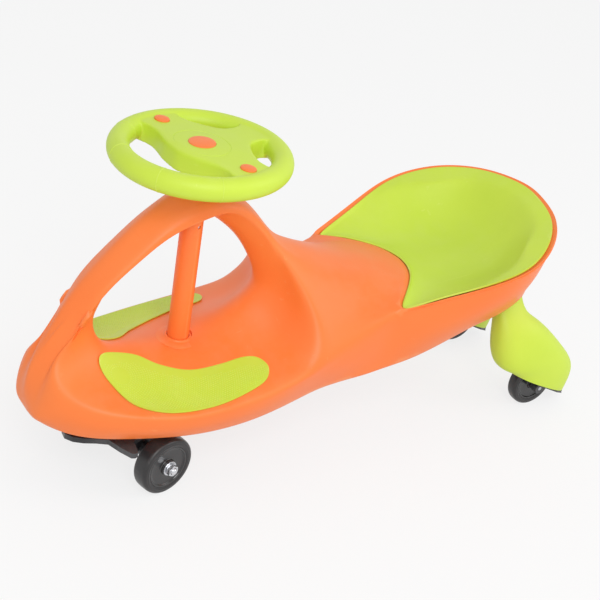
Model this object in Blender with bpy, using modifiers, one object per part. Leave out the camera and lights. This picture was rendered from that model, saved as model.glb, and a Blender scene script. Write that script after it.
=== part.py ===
# A toddler's swing car: a moulded body on two rear legs and a steered front truck.
# The child sits in the bowl, rests both feet on the deck and swings the steering wheel.
# Metres, +Z up, floor at z = 0. The nose points to -X, the car's left side to -Y.
import bpy
import bmesh
import math
from mathutils import Matrix, Vector

mm = 0.001

# Fits
gap = 0.3 * mm              # between touching pieces
slide = 0.35 * mm           # round a shaft, per side

# Body
frameShift = -8.4 * mm        # puts the origin under the middle of the whole car
bodyLength = 781 * mm
bodyWidth = 294 * mm
bodyRise = 1.0              # heights of the body's lines, as a factor
wall = 3.0 * mm
columnX = -195 * mm
deckTop = 157 * mm          # deck surface where the column passes
bowTop = 361 * mm           # crown of the bow above the column
bowUnder = 331 * mm         # its underside there
seatThickness = 2.3 * mm
seatStep = 3.0 * mm         # depth of the rebate that the seat lies in
seatEdgeGap = 0.9 * mm      # between the seat's edge and the rebate's corner
padThickness = 1.6 * mm

# Steering
steerAngle = math.radians(13.1)   # how far the wheel is turned at rest
shaftDiameter = 10 * mm
columnDiameter = 27 * mm
columnBottom = 129 * mm
columnTop = 350 * mm
bushWall = 3.0 * mm
bushFlange = 5.0 * mm       # how far a flange stands out from its bush
bushFlangeHeight = 2.5 * mm
rimCentreZ = 403 * mm
rimRadius = 94.5 * mm
rimTube = 13.8 * mm
hubTop = 414.5 * mm
hubBottom = 390 * mm
hubWall = 3.0 * mm
hubCoverHeight = 3.0 * mm
buttonOffset = 75 * mm
buttonSetBack = 3 * mm      # side buttons behind the wheel's middle
buttonDiameter = 20 * mm
centreButtonDiameter = 32 * mm
buttonProud = 2.6 * mm
centreButtonProud = 3.8 * mm
buttonTravel = 1.8 * mm
buttonFlange = 1.5 * mm
boardThickness = 1.6 * mm
crossPinDiameter = 4 * mm
columnPinZ = 313 * mm
neckPinZ = 375 * mm

# Truck and front wheels
wheelRadius = 38 * mm
wheelWidth = 24 * mm
wheelAhead = 69 * mm        # axle ahead of the steering axis
wheelOuterFace = 85.5 * mm
axleDiameter = 8 * mm
truckHubRadius = 21 * mm
truckPlateZ = 66 * mm
truckPlateHeight = 7 * mm
washerHeight = 1.6 * mm
nutHeight = 6.5 * mm
nutAcrossFlats = 13 * mm

# Rear legs and wheels
rearWheelRadius = 35 * mm
rearWheelWidth = 18 * mm
rearAxleX = 340 * mm
rearWheelY = 89.5 * mm
rearAxleDiameter = 6 * mm
legWall = 2.6 * mm
legTopX = 284 * mm
legTopY = 55 * mm
legTopZ = 192 * mm

# Scene and helpers
for stale in list(bpy.data.objects):
    bpy.data.objects.remove(stale, do_unlink=True)

partsCollection = bpy.data.collections.new("toddler_ride_on_car")
cutterCollection = bpy.data.collections.new("cutters")
bpy.context.scene.collection.children.link(partsCollection)
bpy.context.scene.collection.children.link(cutterCollection)


def makeMaterial(name, colour, roughness, metallic=0.0):
    material = bpy.data.materials.new(name)
    material.use_nodes = True
    material.diffuse_color = (*colour, 1.0)
    shader = material.node_tree.nodes["Principled BSDF"]
    shader.inputs["Base Color"].default_value = (*colour, 1.0)
    shader.inputs["Roughness"].default_value = roughness
    shader.inputs["Metallic"].default_value = metallic
    return material


orange = makeMaterial("orange_plastic", (1.0, 0.22, 0.045), 0.42)
lime = makeMaterial("lime_plastic", (0.62, 0.80, 0.07), 0.42)
blackPlastic = makeMaterial("black_plastic", (0.012, 0.011, 0.012), 0.35)
tyreBlack = makeMaterial("black_tyre", (0.018, 0.017, 0.018), 0.45)
steel = makeMaterial("zinc_steel", (0.42, 0.43, 0.45), 0.32, 1.0)
nylon = makeMaterial("white_nylon", (0.75, 0.74, 0.70), 0.5)
boardGreen = makeMaterial("board_green", (0.03, 0.20, 0.07), 0.5)


car = bpy.data.objects.new("car", None)
partsCollection.objects.link(car)
car.location.x = frameShift


def place(thing, collection, location=(0, 0, 0), rotation=(0, 0, 0), parent=car):
    collection.objects.link(thing)
    thing.location = location
    thing.rotation_euler = rotation
    thing.parent = parent
    if collection == cutterCollection:
        thing.hide_render = True
        thing.display_type = "WIRE"
    return thing


def addPart(name, mesh, material, location=(0, 0, 0), rotation=(0, 0, 0), parent=car):
    mesh.materials.clear()
    mesh.materials.append(material)
    thing = bpy.data.objects.new(name, mesh)
    return place(thing, partsCollection, location, rotation, parent)


def smooth(thing, angle=40):
    thing.data.shade_smooth()
    thing.data.set_sharp_from_angle(angle=math.radians(angle))


def turnedMesh(name, profile, steps=20):
    # profile: (radius, height) pairs, outer side from top to bottom, then back up
    # the bore if there is one; a first or last radius of 0 closes it on the axis
    mesh = bpy.data.meshes.new(name + "_profile")
    points = [(r, 0, z) for r, z in profile]
    edges = [(i, i + 1) for i in range(len(points) - 1)]
    if profile[0][0] > 0:
        edges.append((len(points) - 1, 0))
    mesh.from_pydata(points, edges, [])
    guide = bpy.data.objects.new(name + "_guide", mesh)
    cutterCollection.objects.link(guide)
    screw = guide.modifiers.new("Screw", "SCREW")
    screw.steps = steps
    screw.render_steps = steps
    screw.use_merge_vertices = True
    screw.merge_threshold = 0.00001
    screw.use_smooth_shade = True
    return bakedMesh(guide)


def bakedMesh(thing):
    # the object's evaluated shape as a plain mesh; the object itself goes
    bpy.context.view_layer.update()
    evaluated = thing.evaluated_get(bpy.context.evaluated_depsgraph_get())
    mesh = bpy.data.meshes.new_from_object(evaluated)
    bpy.data.objects.remove(thing, do_unlink=True)
    return mesh


def turned(name, profile, material, steps=20, **where):
    part = addPart(name, turnedMesh(name, profile, steps), material, **where)
    smooth(part)
    return part


def tubeProfile(outer, inner, bottom, top):
    return [(outer, top), (outer, bottom), (inner, bottom), (inner, top)]


def rodProfile(radius, bottom, top, chamfer=0.0):
    if chamfer == 0:
        return [(0, top), (radius, top), (radius, bottom), (0, bottom)]
    return [(0, top), (radius - chamfer, top), (radius, top - chamfer),
            (radius, bottom + chamfer), (radius - chamfer, bottom), (0, bottom)]


def outlineMesh(name, points, bottom, top, resolution=2):
    # flat closed outline, given by points that a smooth curve runs through
    curve = bpy.data.curves.new(name + "_outline", "CURVE")
    curve.dimensions = "2D"
    curve.fill_mode = "BOTH"
    curve.resolution_u = resolution
    curve.extrude = (top - bottom) / 2
    spline = curve.splines.new("BEZIER")
    spline.bezier_points.add(len(points) - 1)
    for knot, (x, y) in zip(spline.bezier_points, points):
        knot.co = (x, y, 0)
        knot.handle_left_type = "AUTO"
        knot.handle_right_type = "AUTO"
    spline.use_cyclic_u = True
    guide = bpy.data.objects.new(name + "_guide", curve)
    cutterCollection.objects.link(guide)
    mesh = bakedMesh(guide)
    mesh.transform(Matrix.Translation((0, 0, (bottom + top) / 2)))
    weld(mesh)
    return mesh


def weld(mesh, distance=0.00001):
    shape = bmesh.new()
    shape.from_mesh(mesh)
    bmesh.ops.remove_doubles(shape, verts=shape.verts, dist=distance)
    bmesh.ops.recalc_face_normals(shape, faces=shape.faces)
    shape.to_mesh(mesh)
    shape.free()


def boxMesh(name, size, centre=(0, 0, 0)):
    mesh = bpy.data.meshes.new(name)
    shape = bmesh.new()
    bmesh.ops.create_cube(shape, size=1.0)
    bmesh.ops.scale(shape, vec=size, verts=shape.verts)
    bmesh.ops.translate(shape, vec=centre, verts=shape.verts)
    shape.to_mesh(mesh)
    shape.free()
    return mesh


def cylinderMesh(name, radius, bottom, top, segments=28):
    mesh = bpy.data.meshes.new(name)
    shape = bmesh.new()
    bmesh.ops.create_cone(shape, cap_ends=True, segments=segments, radius1=radius,
                          radius2=radius, depth=top - bottom)
    bmesh.ops.translate(shape, vec=(0, 0, (bottom + top) / 2), verts=shape.verts)
    shape.to_mesh(mesh)
    shape.free()
    return mesh


def combine(target, mesh, operation, location=(0, 0, 0), rotation=(0, 0, 0), parent=car):
    tool = bpy.data.objects.new(target.name + "_" + operation.lower(), mesh)
    place(tool, cutterCollection, location, rotation, parent)
    boolean = target.modifiers.new(operation.title(), "BOOLEAN")
    boolean.operation = operation
    boolean.object = tool
    boolean.solver = "EXACT"
    return tool


def addSubdivision(thing, levels):
    subdivision = thing.modifiers.new("Subdivision", "SUBSURF")
    subdivision.levels = levels
    subdivision.render_levels = levels


# Body surface
# Half a cage of quads for y >= 0, in millimetres. Each spoke starts at the window under
# the bow and runs outward: window edge, inner face, edge, side or rim, ridge or hull,
# and last the crown of the bow or the hull's bottom edge.
deckSpokes = [
    [(-126, 0, 187), (-117, 29, 177), (-97, 66, 163), (-68, 114, 157.5), (-66, 110.5, 129), (-64, 97, 100)],
    [(-166, 0, 166), (-160, 38, 160), (-146, 84, 149), (-128, 122.5, 139), (-128, 120, 116), (-128, 107, 92)],
    [(-205, 0, 157), (-205, 42, 150), (-200, 93, 135), (-193, 124, 129), (-193, 121.5, 109),
     (-193, 110.5, 89)],
    [(-238, 0, 157), (-238, 38, 149), (-242, 87, 132), (-245, 117.5, 125.5), (-245, 116, 106),
     (-245, 105.5, 89)],
    [(-270, 0, 159), (-274, 33, 150), (-285, 74, 134), (-295, 102.5, 127.5), (-298, 102, 107),
     (-295, 92.5, 89)],
    [(-294, 0, 167), (-302, 25, 158), (-322, 55, 144), (-338, 79, 133), (-345, 80, 111), (-338, 75, 89)],
    [(-309, 0, 185), (-320, 18, 178), (-347, 33, 162), (-370, 45, 147), (-377, 50, 116), (-370, 46, 89)],
    [(-313, 0, 207), (-324, 15, 203), (-352, 27, 184), (-370, 24, 168), (-389, 25, 113), (-387, 0, 89)],
]
bowSpokes = [
    [(-308, 0, 226), (-317, 15, 224), (-341, 27, 212), (-353, 23, 191), (-369, 12, 182), (-389, 0, 146)],
    [(-299, 0, 246), (-306, 15, 246), (-326, 28, 235), (-335, 25, 228), (-354, 11, 212), (-372, 0, 185)],
    [(-284, 0, 268), (-289, 16, 269), (-304, 29, 262), (-315, 25.5, 259), (-334, 10.5, 246), (-346, 0, 234)],
    [(-260, 0, 292), (-263, 16, 293), (-272, 30, 291), (-281, 27, 292), (-299, 11, 286), (-308, 0, 281)],
    [(-230, 0, 315), (-232, 16, 316), (-237, 31, 317), (-243, 28.5, 323), (-253, 15, 327), (-259, 0, 329)],
    [(-196, 0, 331), (-196, 17, 332), (-196, 33, 334), (-197, 31, 343), (-199, 25, 351), (-202, 0, 360)],
    [(-168, 0, 320), (-166, 18, 324), (-158, 32, 337), (-154, 30, 342), (-150, 22, 346), (-146, 0, 348)],
    [(-136, 0, 293), (-132, 18, 298), (-121, 31, 312), (-117, 29, 316), (-114, 22, 318), (-110, 0, 318)],
    [(-110, 0, 257), (-103, 18, 262), (-92, 33, 273), (-87, 32, 280), (-83, 23, 283), (-78, 0, 285)],
]
cornerSpokes = [
    [(-97, 0, 215), (-87, 22, 213), (-73, 46, 211), (-60, 76, 214)],
]
# Columns from the bow's rear foot to the front edge of the seat: crown, ridge, side,
# flank, rim, hull and bottom edge
humpColumns = [
    [(-38, 0, 264), (-41, 25, 260), (-45, 49, 248), (-38, 79, 213), (-30, 109.5, 171), (-30, 106.5, 137),
     (-30, 93, 105)],
    [(10, 0, 246), (8, 26, 243), (4, 52, 233), (2, 80, 210), (4, 106, 184), (4, 104, 147), (4, 93, 109)],
    [(62, 0, 233), (57, 27, 231), (47, 52, 226), (37, 79, 212), (33, 104.5, 196), (33, 102, 154),
     (33, 94, 112)],
    [(125, 0, 220), (118.5, 27, 220), (103, 51, 219.5), (76, 80, 217), (61, 105, 211), (62, 103, 164),
     (62, 95, 117)],
]
# Round the seat from the tip to the tail: rim, hull and bottom edge
rimColumns = [
    [(102, 120, 224), (102, 115, 175), (102, 97, 125)],
    [(147, 134.5, 239), (147, 126, 190), (147, 99, 140.5)],
    [(192, 146, 254), (192, 134, 207), (190, 101, 158)],
    [(235, 144.5, 267.5), (233, 130, 217), (230, 98, 166)],
    [(273, 126, 280.5), (270, 113, 227), (262, 90, 170)],
    [(306, 97, 288), (302, 90, 233), (295, 74, 170)],
    [(336, 67, 286.5), (335, 63, 232), (322, 53, 168)],
    [(362, 37, 276), (365, 35, 224), (345, 29, 166)],
    [(384, 0, 258), (388, 0, 212), (362, 0, 165)],
]
# The bowl's shoulder: distance from the seat's outline and height, from the middle of
# the front edge to the tip and along the rim to the tail
seatShoulder = [(15, 210.5), (15, 211), (14, 211), (12, 210), (10, 206.5), (12, 216), (15, 228), (17, 242),
                (22, 254), (33, 261), (36, 263), (38, 263), (39, 260), (42, 256)]
rebateWidth = 4.5
seatFloorZ = 206
seatRows = 4

lengthScale = bodyLength / (781 * mm)
widthScale = bodyWidth / (294 * mm)


def cagePoint(point):
    x, y, z = point
    return Vector((x * mm * lengthScale, y * mm * widthScale, z * mm * bodyRise))


def inwardArms(boundary):
    # plan directions square to the seat's outline, longer where it turns a corner
    points = [Vector(point[:2]) for point in boundary]
    points.insert(0, Vector((points[1].x, -points[1].y)))
    points.append(Vector((points[-2].x, -points[-2].y)))
    arms = []
    for before, point, after in zip(points, points[1:], points[2:]):
        one = (point - before).normalized()
        two = (after - point).normalized()
        normal = Vector((one.y + two.y, -one.x - two.x)).normalized()
        arms.append(normal / max(0.5, normal.dot(Vector((one.y, -one.x)))))
    return arms


def seatRings(boundary):
    # two rings inside the seat's boundary: the rebate that its edge lies in, and the
    # shoulder where the bowl falls away
    rebate, shoulder = [], []
    for (x, y, z), arm, (width, height) in zip(boundary, inwardArms(boundary), seatShoulder):
        rebate.append((x + arm.x * rebateWidth, y + arm.y * rebateWidth, z - seatStep / mm))
        shoulder.append((x + arm.x * width, y + arm.y * width, height))
    return rebate, shoulder


def seatGrid(ring):
    # fills the shoulder ring with the bowl: row 0 lies on the centre plane, the last
    # row along the side
    rows = seatRows
    columns = len(ring) - 1 - 2 * rows
    front = ring[:rows + 1]
    side = ring[rows:rows + columns + 1]
    rear = list(reversed(ring[rows + columns:]))
    grid = []
    for i in range(rows + 1):
        line = []
        for j in range(columns + 1):
            if j == 0:
                line.append(front[i])
            elif j == columns:
                line.append(rear[i])
            elif i == rows:
                line.append(side[j])
            else:
                u, v = j / columns, i / rows
                x = front[0][0] + (rear[0][0] - front[0][0]) * u
                x += v * v * (side[j][0] - x)
                y = side[j][1] * v * (1 - 0.06 * v)
                z = seatFloorZ + 9 * v ** 3 + 10 * u ** 4
                line.append((x, y, z))
        grid.append(line)
    return grid


class Cage:
    def __init__(self, name):
        self.name = name
        self.shape = bmesh.new()
        self.crease = self.shape.edges.layers.float.new("crease_edge")
        self.made = {}

    def vertex(self, point):
        if point not in self.made:
            self.made[point] = self.shape.verts.new(cagePoint(point))
        return self.made[point]

    def strips(self, lines, group=0):
        # quads between neighbouring lines with equal numbers of points
        for one, two in zip(lines, lines[1:]):
            for k in range(len(one) - 1):
                corners = [self.vertex(p) for p in (one[k], one[k + 1], two[k + 1], two[k])]
                self.shape.faces.new(corners).material_index = group

    def sharpen(self, line, amount):
        for one, two in zip(line, line[1:]):
            edge = self.shape.edges.get((self.vertex(one), self.vertex(two)))
            edge[self.crease] = amount

    def mesh(self):
        bmesh.ops.recalc_face_normals(self.shape, faces=self.shape.faces)
        self.shape.faces.ensure_lookup_table()
        result = bpy.data.meshes.new(self.name)
        self.shape.to_mesh(result)
        self.shape.free()
        return result


def bodyCage():
    # group 1 is the bowl that the seat lies in
    cage = Cage("body_surface")
    cage.strips(deckSpokes + bowSpokes)
    cage.strips([spoke[:4] for spoke in (bowSpokes[-1], *cornerSpokes, deckSpokes[0])])
    firstColumn = [bowSpokes[-1][5], bowSpokes[-1][4], bowSpokes[-1][3], cornerSpokes[0][3],
                   deckSpokes[0][3], deckSpokes[0][4], deckSpokes[0][5]]
    cage.strips([firstColumn] + humpColumns)
    cage.strips([humpColumns[-1][4:]] + rimColumns)
    boundary = humpColumns[-1][:5] + [column[0] for column in rimColumns]
    rebate, shoulder = seatRings(boundary)
    cage.strips([boundary, rebate])
    cage.strips([rebate, shoulder], 1)
    cage.strips(seatGrid(shoulder), 1)
    cage.sharpen([spoke[2] for spoke in bowSpokes], 0.55)
    cage.sharpen([spoke[4] for spoke in bowSpokes[:7]], 0.45)
    rim = [spoke[3] for spoke in reversed(deckSpokes)] + [column[4] for column in humpColumns]
    cage.sharpen(rim, 0.35)
    cage.sharpen(boundary, 1.0)
    cage.sharpen(rebate, 1.0)
    cage.sharpen(shoulder[seatRows:], 0.4)
    cage.shape.verts.index_update()
    edge = {cage.vertex(point).index: arm for point, arm in zip(rebate, inwardArms(boundary))}
    return cage.mesh(), edge


def drawThrough(mesh, rounds=5):
    # moves the cage's points outward until the smooth surface runs through the places
    # where they were first set
    aims = [vertex.co.copy() for vertex in mesh.vertices]
    guide = bpy.data.objects.new("cage_guide", mesh)
    cutterCollection.objects.link(guide)
    addMirrorY(guide)
    addSubdivision(guide, 1)
    for _ in range(rounds):
        mesh.update()
        bpy.context.view_layer.update()
        evaluated = guide.evaluated_get(bpy.context.evaluated_depsgraph_get())
        reached = evaluated.to_mesh()
        for vertex, aim in zip(mesh.vertices, aims):
            vertex.co += aim - reached.vertices[vertex.index].co
            if aim.y == 0:
                vertex.co.y = 0
        evaluated.to_mesh_clear()
    bpy.data.objects.remove(guide, do_unlink=True)


def seatCage(surface, edge):
    # the bowl's faces, a little higher and drawn in at the edge
    lift = gap + 0.4 * mm
    shape = bmesh.new()
    shape.from_mesh(surface)
    shape.verts.ensure_lookup_table()
    for index, arm in edge.items():
        shape.verts[index].co += Vector((arm.x, arm.y, 0)) * seatEdgeGap
    lost = [face for face in shape.faces if face.material_index == 0]
    bmesh.ops.delete(shape, geom=lost, context="FACES")
    for vertex in shape.verts:
        vertex.co.z += lift
    mesh = bpy.data.meshes.new("seat_surface")
    shape.to_mesh(mesh)
    shape.free()
    return mesh


def oneMaterial(mesh):
    for face in mesh.polygons:
        face.material_index = 0


def addMirrorY(thing):
    mirror = thing.modifiers.new("Mirror", "MIRROR")
    mirror.use_axis = (False, True, False)
    mirror.use_clip = True
    mirror.merge_threshold = 0.0001


def addShell(thing, thickness, offset):
    shell = thing.modifiers.new("Solidify", "SOLIDIFY")
    shell.thickness = thickness
    shell.offset = offset
    shell.use_even_offset = False


# Rear legs: a neck under the seat that swells into a fender over the wheel
# Each section: centre x, centre z, half length, half width, tilt, centre y
wheelSide = rearWheelY / mm
neck = (legTopX / mm, legTopZ / mm, 21, 13, 0, legTopY / mm)
legSections = [(neck[0], neck[1] - gap / mm, *neck[2:]), (284, 168, 20, 13, 0, legTopY / mm + 1),
               (284, 143, 24, 18, 8, 71), (298, 115, 40, 25, 20, 83), (324, 84, 55, 28, 8, wheelSide),
               (346, 61, 65, 29, -8, wheelSide), (348, 38, 63, 29, -27, wheelSide)]
legRingPoints = 14


def loftMesh(name, sections, inset=0.0):
    shape = bmesh.new()
    rings = []
    for cx, cz, halfLength, halfWidth, tilt, cy in sections:
        angle = math.radians(tilt)
        ring = []
        for k in range(legRingPoints):
            turn = 2 * math.pi * (k + 0.5) / legRingPoints
            along = math.copysign(abs(math.cos(turn)) ** 0.8, math.cos(turn)) * (halfLength * mm - inset)
            across = math.copysign(abs(math.sin(turn)) ** 0.8, math.sin(turn)) * (halfWidth * mm - inset)
            ring.append(shape.verts.new((cx * mm + along * math.cos(angle), cy * mm + across,
                                         cz * mm + along * math.sin(angle))))
        rings.append(ring)
    for one, two in zip(rings, rings[1:]):
        for k in range(legRingPoints):
            following = (k + 1) % legRingPoints
            shape.faces.new((one[k], one[following], two[following]))
            shape.faces.new((one[k], two[following], two[k]))
    shape.faces.new(rings[0])
    shape.faces.new(list(reversed(rings[-1])))
    bmesh.ops.recalc_face_normals(shape, faces=shape.faces)
    mesh = bpy.data.meshes.new(name)
    shape.to_mesh(mesh)
    shape.free()
    return mesh


def mirrored(mesh, side):
    result = mesh.copy()
    if side < 0:
        result.transform(Matrix.Diagonal((1, -1, 1, 1)))
        result.flip_normals()
    return result


bodySurface, seatEdge = bodyCage()
drawThrough(bodySurface)
seatSurface = seatCage(bodySurface, seatEdge)
oneMaterial(bodySurface)
oneMaterial(seatSurface)

# Body shell: one moulding with the bow, open underneath
body = addPart("body_shell", bodySurface, orange)
addMirrorY(body)
addSubdivision(body, 1)
addShell(body, wall, -1)
bushOuter = columnDiameter / 2 + slide + bushWall
deckBossBottom = columnBottom
combine(body, cylinderMesh("deck_boss", bushOuter + 5 * mm, deckBossBottom, deckTop - 3.5 * mm, 20),
        "UNION", location=(columnX, 0, 0))
combine(body, cylinderMesh("column_hole", bushOuter + gap, columnBottom - 10 * mm, bowTop + 20 * mm, 20),
        "DIFFERENCE", location=(columnX, 0, 0))
legBoss = loftMesh("leg_boss", [(neck[0], seatFloorZ - 3.2, *neck[2:]), neck])
for side in (-1, 1):
    combine(body, mirrored(legBoss, side), "UNION")

# Seat bowl
seat = addPart("seat_insert", seatSurface, lime)
addMirrorY(seat)
addSubdivision(seat, 1)
addShell(seat, seatThickness, 1)

# Foot pads: the deck's own surface, lifted by the fit and cut to the pad's outline
padOutline = [(-314, 31), (-304, 20), (-284, 16), (-262, 22), (-240, 41), (-207, 59), (-169, 66), (-138, 67),
              (-122, 74), (-117, 91), (-131, 108), (-168, 116), (-209, 117), (-257, 109), (-290, 88),
              (-307, 56)]


def deckSheet(name):
    guide = bpy.data.objects.new(name, bodySurface.copy())
    cutterCollection.objects.link(guide)
    addMirrorY(guide)
    addSubdivision(guide, 1)
    mesh = bakedMesh(guide)
    shape = bmesh.new()
    shape.from_mesh(mesh)
    bmesh.ops.recalc_face_normals(shape, faces=shape.faces)
    shape.normal_update()
    lost = []
    for face in shape.faces:
        centre = face.calc_center_median()
        onDeck = -345 * mm < centre.x < -85 * mm and face.normal.z > 0.5
        inside = 3 * mm < centre.y and centre.z < 175 * mm
        if not (onDeck and inside):
            lost.append(face)
    bmesh.ops.delete(shape, geom=lost, context="FACES")
    for vertex in shape.verts:
        vertex.co.z += 2 * gap
    shape.to_mesh(mesh)
    shape.free()
    return mesh


for side, label in ((-1, "left"), (1, "right")):
    pad = addPart("foot_pad_" + label, deckSheet("pad_sheet"), lime)
    addShell(pad, padThickness, 1)
    outline = [(x * mm * lengthScale, y * mm * widthScale) for x, y in padOutline]
    combine(pad, outlineMesh("pad_outline", outline, 100 * mm, 220 * mm), "INTERSECT")
    if side < 0:
        mesh = bakedMesh(pad)
        mesh.transform(Matrix.Diagonal((1, -1, 1, 1)))
        mesh.flip_normals()
        addPart("foot_pad_" + label, mesh, lime)

# Bushes that the column turns in
bushBore = columnDiameter / 2 + slide
deckBushTop = deckTop + 1.2 * mm
flangeZ = deckBossBottom - gap
turned("deck_bush", [(bushOuter, deckBushTop), (bushOuter, flangeZ), (bushOuter + bushFlange, flangeZ),
                     (bushOuter + bushFlange, flangeZ - bushFlangeHeight),
                     (bushBore, flangeZ - bushFlangeHeight), (bushBore, deckBushTop)],
       nylon, location=(columnX, 0, 0))
bowBushTop = bowTop + 0.5 * mm
turned("bow_bush", [(bushOuter + bushFlange, bowBushTop + bushFlangeHeight),
                    (bushOuter + bushFlange, bowBushTop),
                    (bushOuter, bowBushTop), (bushOuter, bowUnder - 1.0 * mm),
                    (bushBore, bowUnder - 1.0 * mm), (bushBore, bowBushTop + bushFlangeHeight)],
       nylon, location=(columnX, 0, 0))

# Steering assembly, in a frame turned about the column's axis: local X to the rear,
# local Y to the car's right
steering = bpy.data.objects.new("steering_axis", None)
place(steering, partsCollection, location=(columnX, 0, 0), rotation=(0, 0, steerAngle))

washerTop = flangeZ - bushFlangeHeight - gap
truckTop = washerTop - washerHeight - gap
shaftBottom = 48 * mm
neckBottom = columnTop + gap
hubCoverTop = hubBottom + hubCoverHeight
shaftTop = hubBottom - 2 * mm
shaftBore = shaftDiameter / 2 + slide


def crossHole(target, radius, z, reach):
    combine(target, cylinderMesh("cross_hole", radius, -reach, reach, 10), "DIFFERENCE",
            location=(0, 0, z), rotation=(math.pi / 2, 0, 0), parent=steering)


shaft = turned("steering_shaft", rodProfile(shaftDiameter / 2, shaftBottom, shaftTop, 0.8 * mm), steel, 12,
               parent=steering)
column = turned("column_sleeve", tubeProfile(columnDiameter / 2, shaftBore, columnBottom, columnTop), orange,
                18, parent=steering)
for z in (columnPinZ, neckPinZ):
    crossHole(shaft, crossPinDiameter / 2 + gap, z, 20 * mm)
crossHole(column, crossPinDiameter / 2 + gap, columnPinZ, 20 * mm)

for name, z, reach in (("column_pin", columnPinZ, columnDiameter / 2 - 1.5 * mm),
                       ("neck_pin", neckPinZ, columnDiameter / 2 - 1.5 * mm)):
    turned(name, rodProfile(crossPinDiameter / 2, -reach, reach), steel, 10,
           location=(0, 0, z), rotation=(math.pi / 2, 0, 0), parent=steering)

turned("thrust_washer", tubeProfile(bushOuter + 4 * mm, bushBore, washerTop - washerHeight, washerTop), steel,
       parent=steering)

# Steering wheel: rim and raised hub in one moulding, open below
hubSide = [(-36, 0), (-34, 14), (-31, 28), (-25.5, 43), (-22, 55), (-21, 68), (-22, 84), (0, 92), (27, 84),
           (30, 66), (36.5, 50), (45, 35), (55, 24), (72, 21), (86, 24), (93, 0)]
cavitySide = [(-31, 0), (-29, 14), (-26, 27), (-20.5, 41), (-17, 54), (-15, 66), (-12, 76), (3, 80), (18, 76),
              (24, 62), (30, 47), (38, 30), (43, 14), (44, 0)]


def bothSides(half):
    return half + [(x, -y) for x, y in reversed(half[1:-1])]


hubOutline = bothSides(hubSide)
cavityOutline = bothSides(cavitySide)


def inMetres(points, grow=0.0):
    result = []
    for x, y in points:
        reach = math.hypot(x, y)
        result.append((x * mm * (1 + grow / (reach * mm)), y * mm * (1 + grow / (reach * mm))))
    return result


rimMesh = bpy.data.meshes.new("steering_rim")
bpy.ops.mesh.primitive_torus_add(major_radius=rimRadius, minor_radius=rimTube, major_segments=36,
                                 minor_segments=10)
torus = bpy.context.object
rimMesh = torus.data
rimMesh.transform(Matrix.Translation((0, 0, rimCentreZ)))
bpy.data.objects.remove(torus, do_unlink=True)
steeringWheel = addPart("steering_wheel", rimMesh, lime, parent=steering)
combine(steeringWheel, outlineMesh("hub_outline", inMetres(hubOutline), hubBottom, hubTop), "UNION",
        parent=steering)
cavity = outlineMesh("hub_cavity", inMetres(cavityOutline), hubBottom - 20 * mm, hubTop - hubWall)
combine(steeringWheel, cavity, "DIFFERENCE", parent=steering)
for setBack, offset, diameter in ((0, 0, centreButtonDiameter),
                                  (buttonSetBack, -buttonOffset, buttonDiameter),
                                  (buttonSetBack, buttonOffset, buttonDiameter)):
    hole = cylinderMesh("button_hole", diameter / 2 + gap, hubTop - 3 * hubWall, hubTop + hubWall, 18)
    combine(steeringWheel, hole, "DIFFERENCE", location=(setBack, offset, 0), parent=steering)
    pocket = cylinderMesh("button_pocket", diameter / 2 + buttonFlange + gap, hubBottom, hubTop - hubWall, 18)
    combine(steeringWheel, pocket, "DIFFERENCE", location=(setBack, offset, 0), parent=steering)

# Cover under the hub, with the neck that stands in the bow
neckRadius = columnDiameter / 2
coverPlate = outlineMesh("hub_cover", inMetres(cavityOutline, -gap), hubBottom, hubCoverTop)
hubCover = addPart("hub_cover", coverPlate, lime, parent=steering)
combine(hubCover, cylinderMesh("neck", neckRadius, neckBottom, hubBottom + 1 * mm, 18), "UNION",
        parent=steering)
combine(hubCover, cylinderMesh("neck_bore", shaftBore, neckBottom - 5 * mm, shaftTop + gap, 12), "DIFFERENCE",
        parent=steering)
crossHole(hubCover, crossPinDiameter / 2 + gap, neckPinZ, 20 * mm)
boardZ = hubCoverTop + 3 * mm
for x, y in ((3, 26), (3, -26), (3, 55), (3, -55)):
    combine(hubCover, cylinderMesh("board_post", 2.5 * mm, hubCoverTop - 1 * mm, boardZ - gap, 6), "UNION",
            location=(x * mm, y * mm, 0), parent=steering)

# Sound board with a switch under each button
boardTop = boardZ + boardThickness
boardMesh = boxMesh("sound_board", (24 * mm, 148 * mm, boardThickness),
                    (3 * mm, 0, boardZ + boardThickness / 2))
board = addPart("sound_board", boardMesh, boardGreen, parent=steering)

# Push buttons with a flange that keeps them under the hub's top
flangeTop = hubTop - hubWall - gap


def button(name, diameter, proud, setBack, offset):
    radius = diameter / 2
    buttonTop = hubTop + proud
    flange = radius + buttonFlange
    profile = [(0, buttonTop), (radius * 0.6, buttonTop - 0.3 * mm),
               (radius - 0.8 * mm, buttonTop - 1.0 * mm),
               (radius, buttonTop - 2.0 * mm), (radius, flangeTop), (flange, flangeTop),
               (flange, flangeTop - 1.5 * mm), (4 * mm, flangeTop - 1.5 * mm),
               (4 * mm, boardTop + buttonTravel + 1.0 * mm), (0, boardTop + buttonTravel + 1.0 * mm)]
    turned(name, profile, orange, 16, location=(setBack, offset, 0), parent=steering)


button("horn_button", centreButtonDiameter, centreButtonProud, 0, 0)
button("tune_button_left", buttonDiameter, buttonProud, buttonSetBack, -buttonOffset)
button("tune_button_right", buttonDiameter, buttonProud, buttonSetBack, buttonOffset)

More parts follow.
